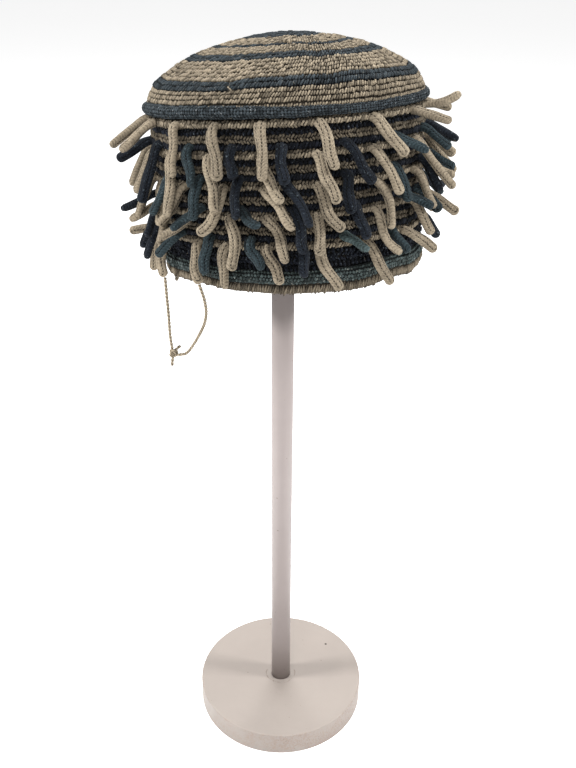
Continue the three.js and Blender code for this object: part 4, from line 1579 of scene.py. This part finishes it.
def make_stand():
    """The round base, the post and the knob under the crown."""
    s = sizes()
    radius, thick = s.base_radius, s.base_thickness
    socket = s.post_radius + FIT_GAP
    floor = thick - s.socket_depth
    level = radius * 0.9
    base = [(0.0, 0.0), (level, 0.0)]
    base += rounded((radius, 0), (0, 0), (radius, thick), s.base_edge)
    base += rounded((radius, thick), (radius, 0), (0, thick), s.base_edge)
    base += [(level, thick), (socket, thick), (socket, floor), (0.0, floor)]
    look = painted_wood("base paint", colours().base_paint)
    turned_piece("painted_base", base, BASE_SIDES, look, "stand_base")
    foot = floor + FIT_GAP
    top = s.knob_height - FIT_GAP
    post = [(0.0, foot), (s.post_radius, foot), (s.post_radius, top), (0.0, top)]
    look = painted_wood("post paint", colours().post_paint)
    turned_piece("painted_post", post, POST_SIDES, look, "stand_post")
    lowest = -math.acos(s.knob_flat / s.knob_radius)
    knob = [(0.0, s.knob_height), (socket, s.knob_height)]
    knob.append((socket, s.knob_height + s.knob_radius * math.sin(lowest)))
    for angle in np.linspace(lowest, math.pi / 2, KNOB_STEPS + 1)[:-1]:
        height = s.knob_height + s.knob_radius * math.sin(angle)
        knob.append((s.knob_radius * math.cos(angle), height))
    knob.append((0.0, s.knob_height + s.knob_radius))
    turned_piece("crown_rest_knob", knob, POST_SIDES, bare_wood(), "crown_knob")


# Stage


# Lights: name, place, height of the point on the axis that they face, width and power.
LIGHTS = (
    ("left light", (-1.5, -0.25, 1.45), 0.4, 0.35, 30),
    ("right light", (1.5, -0.25, 1.45), 0.4, 0.35, 26),
    ("front light", (-0.2, -1.5, 1.9), 0.4, 1.1, 22),
    ("top light", (0.0, 0.8, 1.9), 0.5, 0.9, 25),
)
LIGHT_SHAPE = 0.75
ROOM_LIGHT = 0.4

# The camera looks down by its dip and leans by its roll, in degrees.
CAMERA_PLACE = (0.0044, -0.6639, 0.7177)
CAMERA_DIP = 29.44
CAMERA_ROLL = 0.53
CAMERA_LENS = 44.53
SENSOR_WIDTH = 36
FLOOR_REACH = 6


def area_light(name, place, aim, width, power):
    """A soft rectangular light that faces a point on the axis."""
    light = bpy.data.lights.new(name, "AREA")
    light.shape = "RECTANGLE"
    light.size = width
    light.size_y = width * LIGHT_SHAPE
    light.energy = power
    lamp = added(name, light)
    lamp.location = place
    facing = Vector((0, 0, aim)) - Vector(place)
    lamp.rotation_euler = facing.to_track_quat("-Z", "Y").to_euler()


def make_stage():
    """A plain pale floor, soft studio light and the camera at the photograph's angle."""
    scene = bpy.context.scene
    camera = bpy.data.cameras.new("camera")
    camera.lens = CAMERA_LENS
    camera.sensor_width = SENSOR_WIDTH
    holder = added("camera", camera)
    tilt = Matrix.Rotation(math.radians(90 - CAMERA_DIP), 4, "X")
    roll = Matrix.Rotation(math.radians(CAMERA_ROLL), 4, "Z")
    holder.matrix_world = Matrix.Translation(CAMERA_PLACE) @ tilt @ roll
    scene.camera = holder
    bm = bmesh.new()
    bmesh.ops.create_grid(bm, x_segments=2, y_segments=2, size=FLOOR_REACH)
    mesh = mesh_of(bm, "floor")
    mesh.materials.append(floor_paint())
    added("floor", mesh)
    world = bpy.data.worlds.new("studio")
    world.use_nodes = True
    background = world.node_tree.nodes["Background"]
    background.inputs["Color"].default_value = (1, 1, 1, 1)
    background.inputs["Strength"].default_value = ROOM_LIGHT
    scene.world = world
    for light in LIGHTS:
        area_light(*light)
    scene.view_settings.view_transform = "Standard"


class CAP_OT_stage(bpy.types.Operator):
    """Makes the floor, the lights and the camera"""

    bl_idname = "cap.stage"
    bl_label = "Stage"

    def execute(self, context):
        make_stage()
        return {"FINISHED"}


class CAP_OT_cords(bpy.types.Operator):
    """Makes the two tie cords and their knot"""

    bl_idname = "cap.cords"
    bl_label = "Tie Cords"

    def execute(self, context):
        make_cords()
        return {"FINISHED"}


class CAP_OT_crown(bpy.types.Operator):
    """Makes the striped crown"""

    bl_idname = "cap.crown"
    bl_label = "Crown"

    def execute(self, context):
        make_crown()
        return {"FINISHED"}


class CAP_OT_roll(bpy.types.Operator):
    """Makes the blue roll round the crown's edge"""

    bl_idname = "cap.roll"
    bl_label = "Edge Roll"

    def execute(self, context):
        make_roll()
        return {"FINISHED"}


class CAP_OT_wall(bpy.types.Operator):
    """Makes the striped side wall"""

    bl_idname = "cap.wall"
    bl_label = "Side Wall"

    def execute(self, context):
        make_wall()
        return {"FINISHED"}


class CAP_OT_hem(bpy.types.Operator):
    """Makes the hem's green band and its tan edge"""

    bl_idname = "cap.hem"
    bl_label = "Hem"

    def execute(self, context):
        make_hem_band()
        make_hem_edge()
        return {"FINISHED"}


class CAP_OT_fingers(bpy.types.Operator):
    """Makes the rings of knitted fingers"""

    bl_idname = "cap.fingers"
    bl_label = "Fingers"

    def execute(self, context):
        make_fingers()
        return {"FINISHED"}


class CAP_OT_fibres(bpy.types.Operator):
    """Makes the fine fibres that stand off the yarn"""

    bl_idname = "cap.fibres"
    bl_label = "Stray Fibres"

    def execute(self, context):
        make_fibres()
        return {"FINISHED"}


class CAP_OT_stand(bpy.types.Operator):
    """Makes the wooden stand"""

    bl_idname = "cap.stand"
    bl_label = "Stand"

    def execute(self, context):
        make_stand()
        return {"FINISHED"}


OPERATORS = (
    CAP_OT_stage,
    CAP_OT_cords,
    CAP_OT_crown,
    CAP_OT_roll,
    CAP_OT_wall,
    CAP_OT_hem,
    CAP_OT_fingers,
    CAP_OT_fibres,
    CAP_OT_stand,
)


class CAP_PT_panel(bpy.types.Panel):
    """Lists the cap's pieces in the sidebar"""

    bl_idname = "CAP_PT_panel"
    bl_label = "Prestige Cap"
    bl_space_type = "VIEW_3D"
    bl_region_type = "UI"
    bl_category = "Cap"

    def draw(self, context):
        for operator in OPERATORS:
            self.layout.operator(operator.bl_idname)


CLASSES = (CapSizes, CapColours, *OPERATORS, CAP_PT_panel)


def register():
    """Registers the add-on's classes and settings."""
    for cls in CLASSES:
        bpy.utils.register_class(cls)
    bpy.types.Scene.cap_sizes = PointerProperty(type=CapSizes)
    bpy.types.Scene.cap_colours = PointerProperty(type=CapColours)


def unregister():
    """Removes the add-on's classes and settings."""
    del bpy.types.Scene.cap_colours
    del bpy.types.Scene.cap_sizes
    for cls in reversed(CLASSES):
        bpy.utils.unregister_class(cls)


def main():
    """Makes the whole scene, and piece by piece."""
    register()
    bpy.ops.cap.stage()
    bpy.ops.cap.cords()
    bpy.ops.cap.crown()
    bpy.ops.cap.roll()
    bpy.ops.cap.wall()
    bpy.ops.cap.hem()
    bpy.ops.cap.fingers()
    bpy.ops.cap.fibres()
    bpy.ops.cap.stand()


if __name__ == "__main__":
    main()
